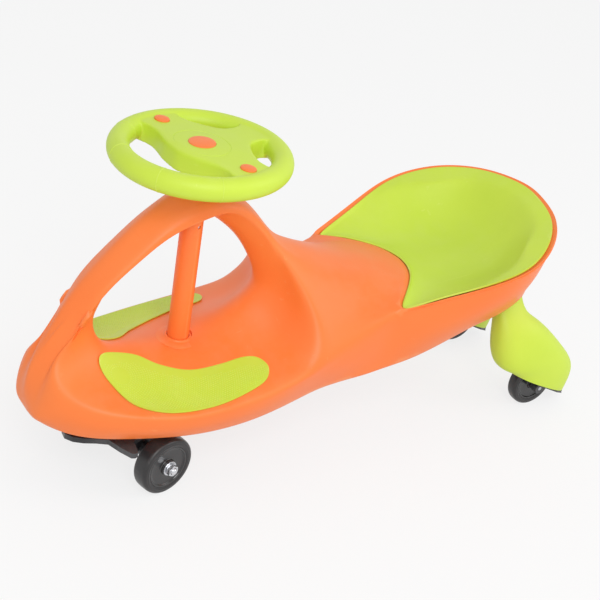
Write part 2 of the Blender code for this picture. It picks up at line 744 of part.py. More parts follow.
# Truck: a hub on the shaft, and a plate out to the wheels and forward under the nose
plateOutline = [(28, 0), (20, 22), (-10, 40), (-32, 52), (-70, 53), (-104, 56), (-113, 76), (-121, 74),
                (-127, 38), (-150, 20), (-163, 0), (-150, -20), (-127, -38), (-121, -74), (-113, -76),
                (-104, -56), (-70, -53), (-32, -52), (-10, -40), (20, -22)]
truck = addPart("truck_frame", outlineMesh("truck_plate", inMetres(plateOutline), truckPlateZ,
                                           truckPlateZ + truckPlateHeight), blackPlastic, parent=steering)
combine(truck, cylinderMesh("truck_hub", truckHubRadius, truckPlateZ - 8 * mm, truckTop, 18), "UNION",
        parent=steering)
axleTubeReach = wheelOuterFace - wheelWidth - 2 * gap
combine(truck, cylinderMesh("axle_tube", 10 * mm, -axleTubeReach, axleTubeReach, 14), "UNION",
        location=(-wheelAhead, 0, wheelRadius), rotation=(math.pi / 2, 0, 0), parent=steering)
for y in (-36 * mm, 0, 36 * mm):
    combine(truck, boxMesh("axle_rib", (30 * mm, 5 * mm, truckPlateZ - wheelRadius + 2 * mm),
                           (-wheelAhead, y, (truckPlateZ + wheelRadius) / 2 + 1 * mm)), "UNION",
            parent=steering)
combine(truck, cylinderMesh("shaft_bore", shaftBore, 20 * mm, truckTop + 10 * mm, 12), "DIFFERENCE",
        parent=steering)
combine(truck, cylinderMesh("axle_bore", axleDiameter / 2 + gap, -80 * mm, 80 * mm, 12), "DIFFERENCE",
        location=(-wheelAhead, 0, wheelRadius), rotation=(math.pi / 2, 0, 0), parent=steering)


def nutMesh(name, flats, bore, bottom, top):
    mesh = cylinderMesh(name, flats / math.sqrt(3), bottom, top, 6)
    nut = bpy.data.objects.new(name, mesh)
    cutterCollection.objects.link(nut)
    bored = cylinderMesh(name + "_bore", bore, bottom - 5 * mm, top + 5 * mm, 10)
    combine(nut, bored, "DIFFERENCE", parent=None)
    return bakedMesh(nut)


shaftNutTop = truckPlateZ - 8 * mm - gap
shaftNut = nutMesh("shaft_nut", nutAcrossFlats * 1.25, shaftDiameter / 2 + 0.4 * mm, shaftNutTop - 8 * mm,
                   shaftNutTop)
addPart("shaft_nut", shaftNut, steel, parent=steering)

# Front axle and wheels
axleHalf = wheelOuterFace + gap + washerHeight + gap + nutHeight + 2.5 * mm
turned("front_axle", rodProfile(axleDiameter / 2, -axleHalf, axleHalf, 0.8 * mm), steel, 12,
       location=(-wheelAhead, 0, wheelRadius), rotation=(math.pi / 2, 0, 0), parent=steering)

tyreInner = 0.74


def tyreProfile(radius, width):
    inner = radius * tyreInner
    half = width / 2
    edge = 0.16 * radius
    return [(inner, half - 1 * mm), (radius - edge, half), (radius - 0.05 * radius, half - 0.35 * edge),
            (radius, half - edge), (radius, -half + edge), (radius - 0.05 * radius, -half + 0.35 * edge),
            (radius - edge, -half), (inner, -half + 1 * mm)]


def hubProfile(radius, width, bore):
    outer = radius * tyreInner - gap
    half = width / 2
    boss = bore + 5 * mm
    dish = half - 4 * mm
    return [(boss, half), (boss + 1 * mm, dish), (outer - 3 * mm, dish), (outer, half - 1.2 * mm),
            (outer, -half + 1.2 * mm), (outer - 3 * mm, -dish), (boss + 1 * mm, -dish), (boss, -half),
            (bore, -half), (bore, half)]


frontBore = axleDiameter / 2 + slide
frontTyre = turnedMesh("front_tyre", tyreProfile(wheelRadius, wheelWidth), 20)
frontHub = turnedMesh("front_hub", hubProfile(wheelRadius, wheelWidth, frontBore), 20)
wheelCentre = wheelOuterFace - wheelWidth / 2
for side, label in ((-1, "left"), (1, "right")):
    turn = (side * -math.pi / 2, 0, 0)
    where = dict(location=(-wheelAhead, side * wheelCentre, wheelRadius), rotation=turn, parent=steering)
    smooth(addPart("front_tyre_" + label, frontTyre.copy(), tyreBlack, **where))
    smooth(addPart("front_hub_" + label, frontHub.copy(), blackPlastic, **where))
    washerInner = wheelWidth / 2 + gap
    turned("axle_washer_" + label, tubeProfile(9.5 * mm, axleDiameter / 2 + 0.15 * mm, washerInner,
                                               washerInner + washerHeight), steel, 14, **where)
    nutBottom = washerInner + washerHeight + gap
    addPart("axle_nut_" + label, nutMesh("axle_nut", nutAcrossFlats, axleDiameter / 2 + 0.4 * mm, nutBottom,
                                         nutBottom + nutHeight), steel, **where)

# Rear legs, carriers and wheels
carrierDrop = 2.5           # how far the carrier's edge shows below the fender
rearAxleZ = rearWheelRadius


def lowered(section, drop):
    return (section[0] + 0.4 * drop, section[1] - drop, *section[2:])


legMesh = loftMesh("rear_leg", legSections)
cavityMesh = loftMesh("leg_cavity", legSections[2:] + [lowered(legSections[-1], 25)], legWall)
carrierSections = [legSections[-2], legSections[-1], lowered(legSections[-1], carrierDrop)]
carrierMesh = loftMesh("wheel_carrier", carrierSections, legWall + 1.5 * gap)
rearBore = rearAxleDiameter / 2 + slide
rearTyre = turnedMesh("rear_tyre", tyreProfile(rearWheelRadius, rearWheelWidth), 16)
rearHub = turnedMesh("rear_hub", hubProfile(rearWheelRadius, rearWheelWidth, rearBore), 16)
slotHalf = rearWheelWidth / 2 + 1.5 * mm
lugReach = legSections[-1][3] * mm - legWall - gap - 3 * mm

for side, label in ((-1, "left"), (1, "right")):
    y = side * rearWheelY
    leg = addPart("rear_leg_" + label, mirrored(legMesh, side), lime)
    combine(leg, mirrored(cavityMesh, side), "DIFFERENCE")
    # insert that closes the fender round the wheel and carries its axle
    carrier = addPart("wheel_carrier_" + label, mirrored(carrierMesh, side), blackPlastic)
    across = (math.pi / 2, 0, 0)
    combine(carrier, cylinderMesh("axle_lug", 8 * mm, -lugReach, lugReach, 16), "UNION",
            location=(rearAxleX, y, rearAxleZ), rotation=across)
    slot = cylinderMesh("wheel_slot", rearWheelRadius + 3.5 * mm, -slotHalf, slotHalf, 24)
    combine(carrier, slot, "DIFFERENCE", location=(rearAxleX, y, rearAxleZ), rotation=across)
    bore = cylinderMesh("lug_bore", rearAxleDiameter / 2 + 0.15 * mm, -50 * mm, 50 * mm, 12)
    combine(carrier, bore, "DIFFERENCE", location=(rearAxleX, y, rearAxleZ), rotation=across)
    turned("rear_axle_" + label, rodProfile(rearAxleDiameter / 2, -lugReach, lugReach), steel, 12,
           location=(rearAxleX, y, rearAxleZ), rotation=across)
    where = dict(location=(rearAxleX, y, rearAxleZ), rotation=(side * -math.pi / 2, 0, 0))
    smooth(addPart("rear_tyre_" + label, rearTyre.copy(), tyreBlack, **where))
    smooth(addPart("rear_hub_" + label, rearHub.copy(), blackPlastic, **where))
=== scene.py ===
# A toddler's swing car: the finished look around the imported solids.
# +Z up, the nose points to -X and the car's left side to -Y. Lengths that a user may change
# are in millimetres, but for the studio's, which are in metres.
import math

import bmesh
import bpy
from mathutils import Matrix, Vector


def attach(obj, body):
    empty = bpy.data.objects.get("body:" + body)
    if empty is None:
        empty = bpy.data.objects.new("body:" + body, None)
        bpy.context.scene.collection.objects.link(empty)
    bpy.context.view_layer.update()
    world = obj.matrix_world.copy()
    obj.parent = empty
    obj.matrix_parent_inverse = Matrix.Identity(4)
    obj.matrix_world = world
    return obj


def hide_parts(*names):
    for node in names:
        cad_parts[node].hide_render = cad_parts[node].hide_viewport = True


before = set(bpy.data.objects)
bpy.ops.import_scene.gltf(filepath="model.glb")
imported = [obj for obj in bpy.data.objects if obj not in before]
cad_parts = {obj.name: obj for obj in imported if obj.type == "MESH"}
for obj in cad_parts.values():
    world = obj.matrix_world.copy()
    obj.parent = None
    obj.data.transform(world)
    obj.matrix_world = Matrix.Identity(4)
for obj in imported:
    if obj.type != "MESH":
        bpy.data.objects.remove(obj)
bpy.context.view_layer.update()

mm = 0.001
frameShift = -8.4           # mm; the body's lines are drawn this much further back than they stand
scene = bpy.context.scene


def shift(x, y, z):
    # a move given in millimetres
    return Matrix.Translation((x * mm, y * mm, z * mm))


steering = {
    "angle": 13.1,          # degrees the wheel is turned at rest
    "columnX": -195,
}
carFrame = shift(frameShift, 0, 0)
columnFrame = carFrame @ shift(steering["columnX"], 0, 0)
steeringFrame = columnFrame @ Matrix.Rotation(math.radians(steering["angle"]), 4, "Z")

print("shader groups")


def feed(tree, socket, value):
    # links another node's output, or sets the socket's own value
    if isinstance(value, bpy.types.NodeSocket):
        tree.links.new(value, socket)
    elif socket.type == "RGBA" and len(value) == 3:
        socket.default_value = (*value, 1.0)
    else:
        socket.default_value = value


def addNode(tree, kind, inputs=None, **settings):
    node = tree.nodes.new(kind)
    for name, value in settings.items():
        setattr(node, name, value)
    for name, value in (inputs or {}).items():
        feed(tree, node.inputs[name], value)
    return node


def math2(tree, operation, a, b=0.0, clamp=False):
    return addNode(tree, "ShaderNodeMath", {0: a, 1: b}, operation=operation, use_clamp=clamp).outputs[0]


def plus(tree, a, b, clamp=False):
    return math2(tree, "ADD", a, b, clamp)


def times(tree, a, b, clamp=False):
    return math2(tree, "MULTIPLY", a, b, clamp)


def remap(tree, value, low, high, toLow=0.0, toHigh=1.0):
    limits = {"From Min": low, "From Max": high, "To Min": toLow, "To Max": toHigh}
    return addNode(tree, "ShaderNodeMapRange", {"Value": value, **limits}).outputs["Result"]


def noise(tree, vector, scale, detail=3.0, roughness=0.5):
    settings = {"Vector": vector, "Scale": scale, "Detail": detail, "Roughness": roughness}
    return addNode(tree, "ShaderNodeTexNoise", settings).outputs["Fac"]


def newGroup(name, kind, inputs, outputs):
    # inputs and outputs are (label, socket kind), with a default value as a third entry
    group = bpy.data.node_groups.new(name, kind)
    for way, sockets in (("INPUT", inputs), ("OUTPUT", outputs)):
        for label, socketKind, *value in sockets:
            socket = group.interface.new_socket(label, in_out=way, socket_type="NodeSocket" + socketKind)
            if value:
                socket.default_value = value[0]
    return group, group.nodes.new("NodeGroupInput").outputs, group.nodes.new("NodeGroupOutput").inputs


def makeMouldGrain():
    # the fine spark-eroded grain of a mould, and the slow clouding of coloured resin
    tree, source, sink = newGroup(
        "mouldGrain", "ShaderNodeTree",
        [("Vector", "Vector"), ("Grain Scale", "Float", 900.0), ("Cloud Scale", "Float", 7.0)],
        [("Height", "Float"), ("Cloud", "Float"), ("Fleck", "Float")])
    place = source["Vector"]
    fine = noise(tree, place, source["Grain Scale"], 4.0, 0.6)
    ripple = noise(tree, place, 45.0, 2.0)
    cloud = noise(tree, place, source["Cloud Scale"], 4.0)
    feed(tree, sink["Height"], plus(tree, fine, times(tree, ripple, 0.8)))
    feed(tree, sink["Cloud"], remap(tree, cloud, 0.3, 0.7))
    feed(tree, sink["Fleck"], remap(tree, fine, 0.35, 0.75))
    return tree


def maskGroup(name, pattern):
    # a pattern's mask times the amount that a material asks for
    tree, source, sink = newGroup(name, "ShaderNodeTree", [("Vector", "Vector"), ("Amount", "Float", 0.5)],
                                  [("Mask", "Float")])
    feed(tree, sink["Mask"], times(tree, pattern(tree, source["Vector"]), source["Amount"], clamp=True))
    return tree


def hairlines(tree, place):
    # sparse scratches in two directions, in patches
    masks = []
    for turn, stretch in ((0.5, (6, 260, 120)), (2.1, (240, 8, 150))):
        turned = addNode(tree, "ShaderNodeMapping", {"Vector": place, "Scale": stretch,
                                                     "Rotation": (turn, 0.3, turn)}).outputs["Vector"]
        masks.append(remap(tree, noise(tree, turned, 1.0, 2.0), 0.68, 0.74))
    patch = remap(tree, noise(tree, place, 16.0, 2.0), 0.52, 0.66)
    return times(tree, math2(tree, "MAXIMUM", *masks), patch)


def rubbedEdges(tree, place):
    # edges and corners that hands and feet polish
    pointed = tree.nodes.new("ShaderNodeNewGeometry").outputs["Pointiness"]
    broken = remap(tree, noise(tree, place, 60.0, 3.0), 0.35, 0.65)
    return times(tree, remap(tree, pointed, 0.52, 0.60), plus(tree, times(tree, broken, 0.6), 0.4))


def lyingDust(tree, place):
    # thin dust on faces that look up
    normal = tree.nodes.new("ShaderNodeNewGeometry").outputs["Normal"]
    facing = addNode(tree, "ShaderNodeSeparateXYZ", {0: normal}).outputs["Z"]
    broken = remap(tree, noise(tree, place, 38.0, 5.0, 0.6), 0.4, 0.75)
    return times(tree, remap(tree, facing, 0.55, 1.0), broken)


mouldGrain = makeMouldGrain()
handlingMarks = maskGroup("handlingMarks", hairlines)
edgeRub = maskGroup("edgeRub", rubbedEdges)
settledDust = maskGroup("settledDust", lyingDust)


def groupNode(tree, group, inputs):
    node = tree.nodes.new("ShaderNodeGroup")
    node.node_tree = group
    for name, value in inputs.items():
        feed(tree, node.inputs[name], value)
    return node.outputs


def mix(tree, factor, one, two):
    # the unnamed sockets 0, 6 and 7 are the factor and the two colours
    node = addNode(tree, "ShaderNodeMix", {0: factor, 6: one, 7: two}, data_type="RGBA")
    return node.outputs[2]


def addBump(tree, shader, height, strength, distance):
    bump = addNode(tree, "ShaderNodeBump", {"Height": height, "Strength": strength, "Distance": distance})
    feed(tree, shader.inputs["Normal"], bump.outputs["Normal"])


def startMaterial(name, look):
    material = bpy.data.materials.new(name)
    material.use_nodes = True
    tree = material.node_tree
    shader = tree.nodes["Principled BSDF"]
    for socket, value in look.get("sockets", {}).items():
        shader.inputs[socket].default_value = value
    place = tree.nodes.new("ShaderNodeTexCoord").outputs["Object"]
    return material, tree, shader, place


print("materials")


def moulded(name, look):
    # injection-moulded plastic: clouded colour, polished edges, hairlines and grain
    material, tree, shader, place = startMaterial(name, look)
    scales = {"Grain Scale": look["grainScale"], "Cloud Scale": look["cloudScale"]}
    grain = groupNode(tree, mouldGrain, {"Vector": place, **scales})
    marks, rub, dust = (groupNode(tree, group, {"Vector": place, "Amount": look[key]})["Mask"]
                        for key, group in (("marks", handlingMarks), ("rub", edgeRub), ("dust", settledDust)))
    colour = mix(tree, grain["Cloud"], look["dark"], look["light"])
    colour = mix(tree, times(tree, grain["Fleck"], look["fleck"]), colour, look["pale"])
    colour = mix(tree, rub, colour, look["pale"])
    colour = mix(tree, times(tree, marks, 0.6), colour, look["pale"])
    colour = mix(tree, dust, colour, look["dustColour"])
    feed(tree, shader.inputs["Base Color"], colour)
    rough = remap(tree, grain["Cloud"], 0.0, 1.0, *look["roughness"])
    rough = plus(tree, rough, times(tree, marks, 0.18))
    rough = math2(tree, "SUBTRACT", rough, times(tree, rub, 0.12))
    rough = plus(tree, rough, times(tree, dust, 0.3), clamp=True)
    feed(tree, shader.inputs["Roughness"], rough)
    height = math2(tree, "SUBTRACT", grain["Height"], times(tree, marks, 0.9))
    addBump(tree, shader, height, look["bump"], 0.2 * mm)
    return material


def platedSteel(name, look):
    # zinc-plated steel: drawn lines along the part, cloudy plating and dull spots
    material, tree, shader, place = startMaterial(name, look)
    drawn = addNode(tree, "ShaderNodeMapping", {"Vector": place, "Scale": look["drawn"]}).outputs["Vector"]
    lines = noise(tree, drawn, 1.0, 3.0)
    spots = remap(tree, noise(tree, place, 140.0, 5.0, 0.65), 0.45, 0.7)
    rub = groupNode(tree, edgeRub, {"Vector": place, "Amount": look["rub"]})
    colour = mix(tree, spots, look["light"], look["dark"])
    colour = mix(tree, rub["Mask"], colour, look["pale"])
    feed(tree, shader.inputs["Base Color"], colour)
    wear = plus(tree, lines, times(tree, spots, 0.5))
    feed(tree, shader.inputs["Roughness"], remap(tree, wear, 0.3, 1.1, *look["roughness"]))
    addBump(tree, shader, lines, look["bump"], 0.1 * mm)
    return material


def printedBoard(name, look):
    # solder mask over copper tracks, with round pads
    material, tree, shader, place = startMaterial(name, look)
    bricks = {"Vector": place, "Scale": 55.0, "Mortar Size": 0.03, "Color1": (0, 0, 0), "Color2": (0, 0, 0),
              "Mortar": (1, 1, 1)}
    tracks = addNode(tree, "ShaderNodeTexBrick", bricks).outputs["Fac"]
    pads = addNode(tree, "ShaderNodeTexVoronoi", {"Vector": place, "Scale": 260.0}).outputs["Distance"]
    pad = remap(tree, pads, 0.22, 0.18)
    colour = mix(tree, times(tree, tracks, 0.6), look["dark"], look["light"])
    colour = mix(tree, pad, colour, look["pale"])
    feed(tree, shader.inputs["Base Color"], colour)
    feed(tree, shader.inputs["Roughness"], remap(tree, pad, 0.0, 1.0, *look["roughness"]))
    addBump(tree, shader, plus(tree, tracks, pad), 0.4, 0.1 * mm)
    return material


orangeLook = {
    "dark": (1.0, 0.205, 0.036), "light": (1.0, 0.235, 0.047), "pale": (1.0, 0.42, 0.16),
    "dustColour": (0.86, 0.52, 0.34), "grainScale": 1100.0, "cloudScale": 6.0, "fleck": 0.05,
    "marks": 0.35, "rub": 0.35, "dust": 0.10, "roughness": (0.40, 0.48), "bump": 0.16,
    "sockets": {"Specular IOR Level": 0.45, "IOR": 1.49},
}
limeLook = {
    "dark": (0.56, 0.74, 0.050), "light": (0.62, 0.80, 0.066), "pale": (0.80, 0.90, 0.24),
    "dustColour": (0.72, 0.75, 0.38), "grainScale": 1100.0, "cloudScale": 7.0, "fleck": 0.05,
    "marks": 0.35, "rub": 0.4, "dust": 0.08, "roughness": (0.40, 0.50), "bump": 0.16,
    "sockets": {"Specular IOR Level": 0.45, "IOR": 1.49},
}
glossBlackLook = {
    "dark": (0.010, 0.009, 0.010), "light": (0.016, 0.015, 0.016), "pale": (0.12, 0.12, 0.125),
    "dustColour": (0.20, 0.18, 0.16), "grainScale": 700.0, "cloudScale": 20.0, "fleck": 0.04,
    "marks": 0.7, "rub": 0.5, "dust": 0.16, "roughness": (0.16, 0.26), "bump": 0.06,
    "sockets": {"Specular IOR Level": 0.55, "IOR": 1.5, "Coat Weight": 0.25},
}
tyreLook = {
    "dark": (0.014, 0.013, 0.014), "light": (0.024, 0.022, 0.023), "pale": (0.10, 0.098, 0.095),
    "dustColour": (0.16, 0.145, 0.125), "grainScale": 850.0, "cloudScale": 28.0, "fleck": 0.08,
    "marks": 0.8, "rub": 0.55, "dust": 0.22, "roughness": (0.28, 0.42), "bump": 0.18,
    "sockets": {"Specular IOR Level": 0.5, "IOR": 1.5},
}
frameBlackLook = {
    "dark": (0.012, 0.011, 0.013), "light": (0.020, 0.019, 0.021), "pale": (0.11, 0.11, 0.115),
    "dustColour": (0.19, 0.17, 0.15), "grainScale": 600.0, "cloudScale": 14.0, "fleck": 0.08,
    "marks": 0.6, "rub": 0.6, "dust": 0.2, "roughness": (0.34, 0.46), "bump": 0.22,
    "sockets": {"Specular IOR Level": 0.5, "IOR": 1.5},
}
nylonLook = {
    "dark": (0.70, 0.69, 0.64), "light": (0.80, 0.79, 0.75), "pale": (0.90, 0.90, 0.88),
    "dustColour": (0.5, 0.47, 0.42), "grainScale": 500.0, "cloudScale": 40.0, "fleck": 0.15,
    "marks": 0.5, "rub": 0.3, "dust": 0.1, "roughness": (0.42, 0.55), "bump": 0.12,
    "sockets": {"Specular IOR Level": 0.4, "IOR": 1.53},
}
steelLook = {
    "dark": (0.42, 0.43, 0.45), "light": (0.62, 0.63, 0.66), "pale": (0.85, 0.86, 0.88),
    "drawn": (900.0, 60.0, 900.0), "rub": 0.8, "roughness": (0.20, 0.42), "bump": 0.12,
    "sockets": {"Metallic": 1.0},
}
boardLook = {
    "dark": (0.012, 0.11, 0.035), "light": (0.03, 0.20, 0.07), "pale": (0.75, 0.72, 0.66),
    "roughness": (0.38, 0.25), "sockets": {},
}

finishes = {
    "orange_plastic": moulded("orangeMoulding", orangeLook),
    "lime_plastic": moulded("limeMoulding", limeLook),
    "black_plastic": moulded("glossBlackWheel", glossBlackLook),
    "black_tyre": moulded("blackTyre", tyreLook),
    "frame_black": moulded("blackFrame", frameBlackLook),
    "white_nylon": moulded("whiteNylon", nylonLook),
    "zinc_steel": platedSteel("zincSteel", steelLook),
    "board_green": printedBoard("soundBoardGreen", boardLook),
}

print("making pieces")


def looseObject(name, mesh):
    thing = bpy.data.objects.new(name, mesh)
    scene.collection.objects.link(thing)
    return thing


def remove(things):
    for thing in things:
        bpy.data.objects.remove(thing, do_unlink=True)


def baked(thing):
    # the object's evaluated shape as a plain mesh; the object itself goes
    bpy.context.view_layer.update()
    evaluated = thing.evaluated_get(bpy.context.evaluated_depsgraph_get())
    mesh = bpy.data.meshes.new_from_object(evaluated)
    remove([thing])
    return mesh


def finishPiece(name, mesh, finish, body, stands=(), place=carFrame, sharp=35):
    # puts a mesh in its place, gives it its finish and hangs it on its body
    mesh.transform(place)
    mesh.materials.clear()
    mesh.materials.append(finishes[finish])
    for face in mesh.polygons:
        face.material_index = 0
    mesh.shade_smooth()
    mesh.set_sharp_from_angle(angle=math.radians(sharp))
    piece = looseObject(name, mesh)
    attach(piece, body)
    if stands:
        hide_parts(*stands)


def modify(thing, kind, **settings):
    modifier = thing.modifiers.new(kind.title(), kind)
    for name, value in settings.items():
        setattr(modifier, name, value)


def subdivide(thing, levels):
    modify(thing, "SUBSURF", levels=levels, render_levels=levels)


def mirrorSide(thing):
    modify(thing, "MIRROR", use_axis=(False, True, False), use_clip=True, merge_threshold=0.0001)


def bevelEdges(thing, width, angle=50):
    modify(thing, "BEVEL", width=width * mm, segments=2, limit_method="ANGLE",
           angle_limit=math.radians(angle))


def skinned(mesh, levels, wall, bevel, offset=-1, mirrored=True):
    # a smooth wall with rounded edges from a cage or half a cage
    guide = looseObject("skin_guide", mesh)
    if mirrored:
        mirrorSide(guide)
    subdivide(guide, levels)
    modify(guide, "SOLIDIFY", thickness=wall * mm, offset=offset, use_even_offset=False)
    bevelEdges(guide, bevel)
    return baked(guide)


def cut(mesh, cutters, operation="DIFFERENCE"):
    # cutters are closed meshes in the same space as the mesh
    thing = looseObject("cut_target", mesh)
    tools = [looseObject("cut_tool", cutter) for cutter in cutters]
    for tool in tools:
        modify(thing, "BOOLEAN", operation=operation, object=tool, solver="EXACT")
    result = baked(thing)
    remove(tools)
    return result


def meshOf(shape, name, tidy=True):
    if tidy:
        bmesh.ops.remove_doubles(shape, verts=shape.verts, dist=0.000002)
        bmesh.ops.recalc_face_normals(shape, faces=shape.faces)
    mesh = bpy.data.meshes.new(name)
    shape.to_mesh(mesh)
    shape.free()
    return mesh


def filleted(points, closed, segments=4):
    # points are (radius, height) or (radius, height, corner length)
    result = []
    for i, point in enumerate(points):
        here = Vector(point[:2])
        if len(point) < 3 or (not closed and i in (0, len(points) - 1)):
            result.append(here)
            continue
        before = Vector(points[i - 1][:2]) - here
        after = Vector(points[(i + 1) % len(points)][:2]) - here
        start = before.normalized() * min(point[2], before.length * 0.48)
        end = after.normalized() * min(point[2], after.length * 0.48)
        for k in range(segments + 1):
            t = k / segments
            result.append(here + start * (1 - t) ** 2 + end * t * t)
    return result


def around(count):
    # cosine and sine of equal steps round a circle
    turns = [2 * math.pi * k / count for k in range(count)]
    return [(math.cos(turn), math.sin(turn)) for turn in turns]


def loft(name, rings, ends="capped", closed=True):
    # quads between neighbouring rings of points; the ends are capped, open or joined
    shape = bmesh.new()
    made = [[shape.verts.new([value * mm for value in point]) for point in ring] for ring in rings]
    for one, two in zip(made, made[1:] + (made[:1] if ends == "joined" else [])):
        for i in range(len(one) if closed else len(one) - 1):
            j = (i + 1) % len(one)
            shape.faces.new((one[i], one[j], two[j], two[i]))
    if ends == "capped":
        shape.faces.new(made[0])
        shape.faces.new(list(reversed(made[-1])))
    return meshOf(shape, name)


def turnedMesh(name, profile, steps=64):
    # turns a profile about Z; one that starts on the axis stays open there
    closed = profile[0][0] > 0
    points = filleted(profile, closed)
    rings = [[(r * c, r * s, z) for r, z in points] for c, s in around(steps)]
    return loft(name, rings, "joined", closed)


def tube(outer, inner, bottom, top, corner=0.3):
    return [(outer, top, corner), (outer, bottom, corner), (inner, bottom, corner), (inner, top, corner)]


def cylinder(name, radius, bottom, top, steps=48, corner=0):
    ends = [(0, top), (radius, top, corner), (radius, bottom, corner), (0, bottom)]
    return turnedMesh(name, ends if corner else [end[:2] for end in ends], steps)


def mirroredProfile(upper, middle=()):
    # a profile that is the same above and below z = 0
    return upper + list(middle) + [(r, -z, *corner) for r, z, *corner in reversed(upper)]


def smoothOutline(points, resolution=10):
    # a closed smooth curve through the points
    result = []
    count = len(points)
    for i in range(count):
        a, b, c, d = (Vector(points[(i + k) % count]) for k in (-1, 0, 1, 2))
        for k in range(resolution):
            t = k / resolution
            result.append(0.5 * (2 * b + (c - a) * t + (2 * a - 5 * b + 4 * c - d) * t * t
                                 + (3 * b - a - 3 * c + d) * t ** 3))
    return result


def prism(name, outline, bottom, top):
    return loft(name, [[(*p, z) for p in outline] for z in (bottom, top)])


def movedMesh(mesh, place):
    mesh.transform(place)
    return mesh


def mirroredMesh(mesh):
    result = mesh.copy()
    result.transform(Matrix.Diagonal((1, -1, 1, 1)))
    result.flip_normals()
    return result


bothSidesOf = {"right": lambda mesh: mesh.copy(), "left": mirroredMesh}

print("body surface")

# Half a cage of quads for y >= 0, in millimetres. Each spoke starts at the window under
# the bow and runs outward: window edge, inner face, edge, side or rim, ridge or hull,
# and last the crown of the bow or the hull's bottom edge.
bodyForm = {
    "deckSpokes": [
        [(-126, 0, 187), (-117, 29, 177), (-97, 66, 163), (-68, 114, 157.5), (-66, 110.5, 129),
         (-64, 97, 100)],
        [(-166, 0, 166), (-160, 38, 160), (-146, 84, 149), (-128, 122.5, 139), (-128, 120, 116),
         (-128, 107, 92)],
        [(-205, 0, 157), (-205, 42, 150), (-200, 93, 135), (-193, 124, 129), (-193, 121.5, 109),
         (-193, 110.5, 89)],
        [(-238, 0, 157), (-238, 38, 149), (-242, 87, 132), (-245, 117.5, 125.5), (-245, 116, 106),
         (-245, 105.5, 89)],
        [(-270, 0, 159), (-274, 33, 150), (-285, 74, 134), (-295, 102.5, 127.5), (-298, 102, 107),
         (-295, 92.5, 89)],
        [(-294, 0, 167), (-302, 25, 158), (-322, 55, 144), (-338, 79, 133), (-345, 80, 111), (-338, 75, 89)],
        [(-309, 0, 185), (-320, 18, 178), (-347, 33, 162), (-370, 45, 147), (-377, 50, 116), (-370, 46, 89)],
        [(-313, 0, 207), (-324, 15, 203), (-352, 27, 184), (-370, 24, 168), (-389, 25, 113), (-387, 0, 89)],
    ],
    "bowSpokes": [
        [(-308, 0, 226), (-317, 15, 224), (-341, 27, 212), (-353, 23, 191), (-369, 12, 182), (-389, 0, 146)],
        [(-299, 0, 246), (-306, 15, 246), (-326, 28, 235), (-335, 25, 228), (-354, 11, 212), (-372, 0, 185)],
        [(-284, 0, 268), (-289, 16, 269), (-304, 29, 262), (-315, 25.5, 259), (-334, 10.5, 246),
         (-346, 0, 234)],
        [(-260, 0, 292), (-263, 16, 293), (-272, 30, 291), (-281, 27, 292), (-299, 11, 286), (-308, 0, 281)],
        [(-230, 0, 315), (-232, 16, 316), (-237, 31, 317), (-243, 28.5, 323), (-253, 15, 327),
         (-259, 0, 329)],
        [(-196, 0, 331), (-196, 17, 332), (-196, 33, 334), (-197, 31, 343), (-199, 25, 351), (-202, 0, 360)],
        [(-168, 0, 320), (-166, 18, 324), (-158, 32, 337), (-154, 30, 342), (-150, 22, 346), (-146, 0, 348)],
        [(-136, 0, 293), (-132, 18, 298), (-121, 31, 312), (-117, 29, 316), (-114, 22, 318), (-110, 0, 318)],
        [(-110, 0, 257), (-103, 18, 262), (-92, 33, 273), (-87, 32, 280), (-83, 23, 283), (-78, 0, 285)],
    ],
    "cornerSpokes": [
        [(-97, 0, 215), (-87, 22, 213), (-73, 46, 211), (-60, 76, 214)],
    ],
    # from the bow's rear foot to the seat: crown, ridge, side, flank, rim, hull, bottom edge
    "humpColumns": [
        [(-38, 0, 264), (-41, 25, 260), (-45, 49, 248), (-38, 79, 213), (-30, 109.5, 171), (-30, 106.5, 137),
         (-30, 93, 105)],
        [(10, 0, 246), (8, 26, 243), (4, 52, 233), (2, 80, 210), (4, 106, 184), (4, 104, 147), (4, 93, 109)],
        [(62, 0, 233), (57, 27, 231), (47, 52, 226), (37, 79, 212), (33, 104.5, 196), (33, 102, 154),
         (33, 94, 112)],
        [(125, 0, 220), (118.5, 27, 220), (103, 51, 219.5), (76, 80, 217), (61, 105, 211), (62, 103, 164),
         (62, 95, 117)],
    ],
    # round the seat from the tip to the tail: rim, hull and bottom edge
    "rimColumns": [
        [(102, 120, 224), (102, 115, 175), (102, 97, 125)],
        [(147, 134.5, 239), (147, 126, 190), (147, 99, 140.5)],
        [(192, 146, 254), (192, 134, 207), (190, 101, 158)],
        [(235, 144.5, 267.5), (233, 130, 217), (230, 98, 166)],
        [(273, 126, 280.5), (270, 113, 227), (262, 90, 170)],
        [(302, 98.5, 289.3), (299, 90, 233), (295, 74, 170)],
        [(320, 68.4, 294.8), (322, 62, 236), (321, 53, 168)],
        [(330, 34, 298.8), (333, 33, 238), (333, 29, 167)],
        [(335, 0, 300), (338, 0, 239), (338, 0, 166)],
    ],
    # the bowl's shoulder: distance from the seat's outline, and height
    "seatShoulder": [(15, 210.5), (15, 211), (14, 211), (12, 210), (10, 206.5), (12, 216), (16, 229.5),
                     (20, 247), (26, 258), (30, 268), (28, 276), (26, 281), (25, 284), (25, 285)],
    "rebateWidth": 4.5,
    "seatStep": 3.0,
    "seatFloorZ": 206,
    "seatRows": 4,
    "sideRise": 2.6,             # how late the bowl rises to its side
    "rearRise": 3.4,             # and to its rear
    "seatEdgeGap": 0.9,
    "seatLift": 0.7,
    "seatThickness": 2.3,
    "wall": 3.0,
    "levels": 3,
}


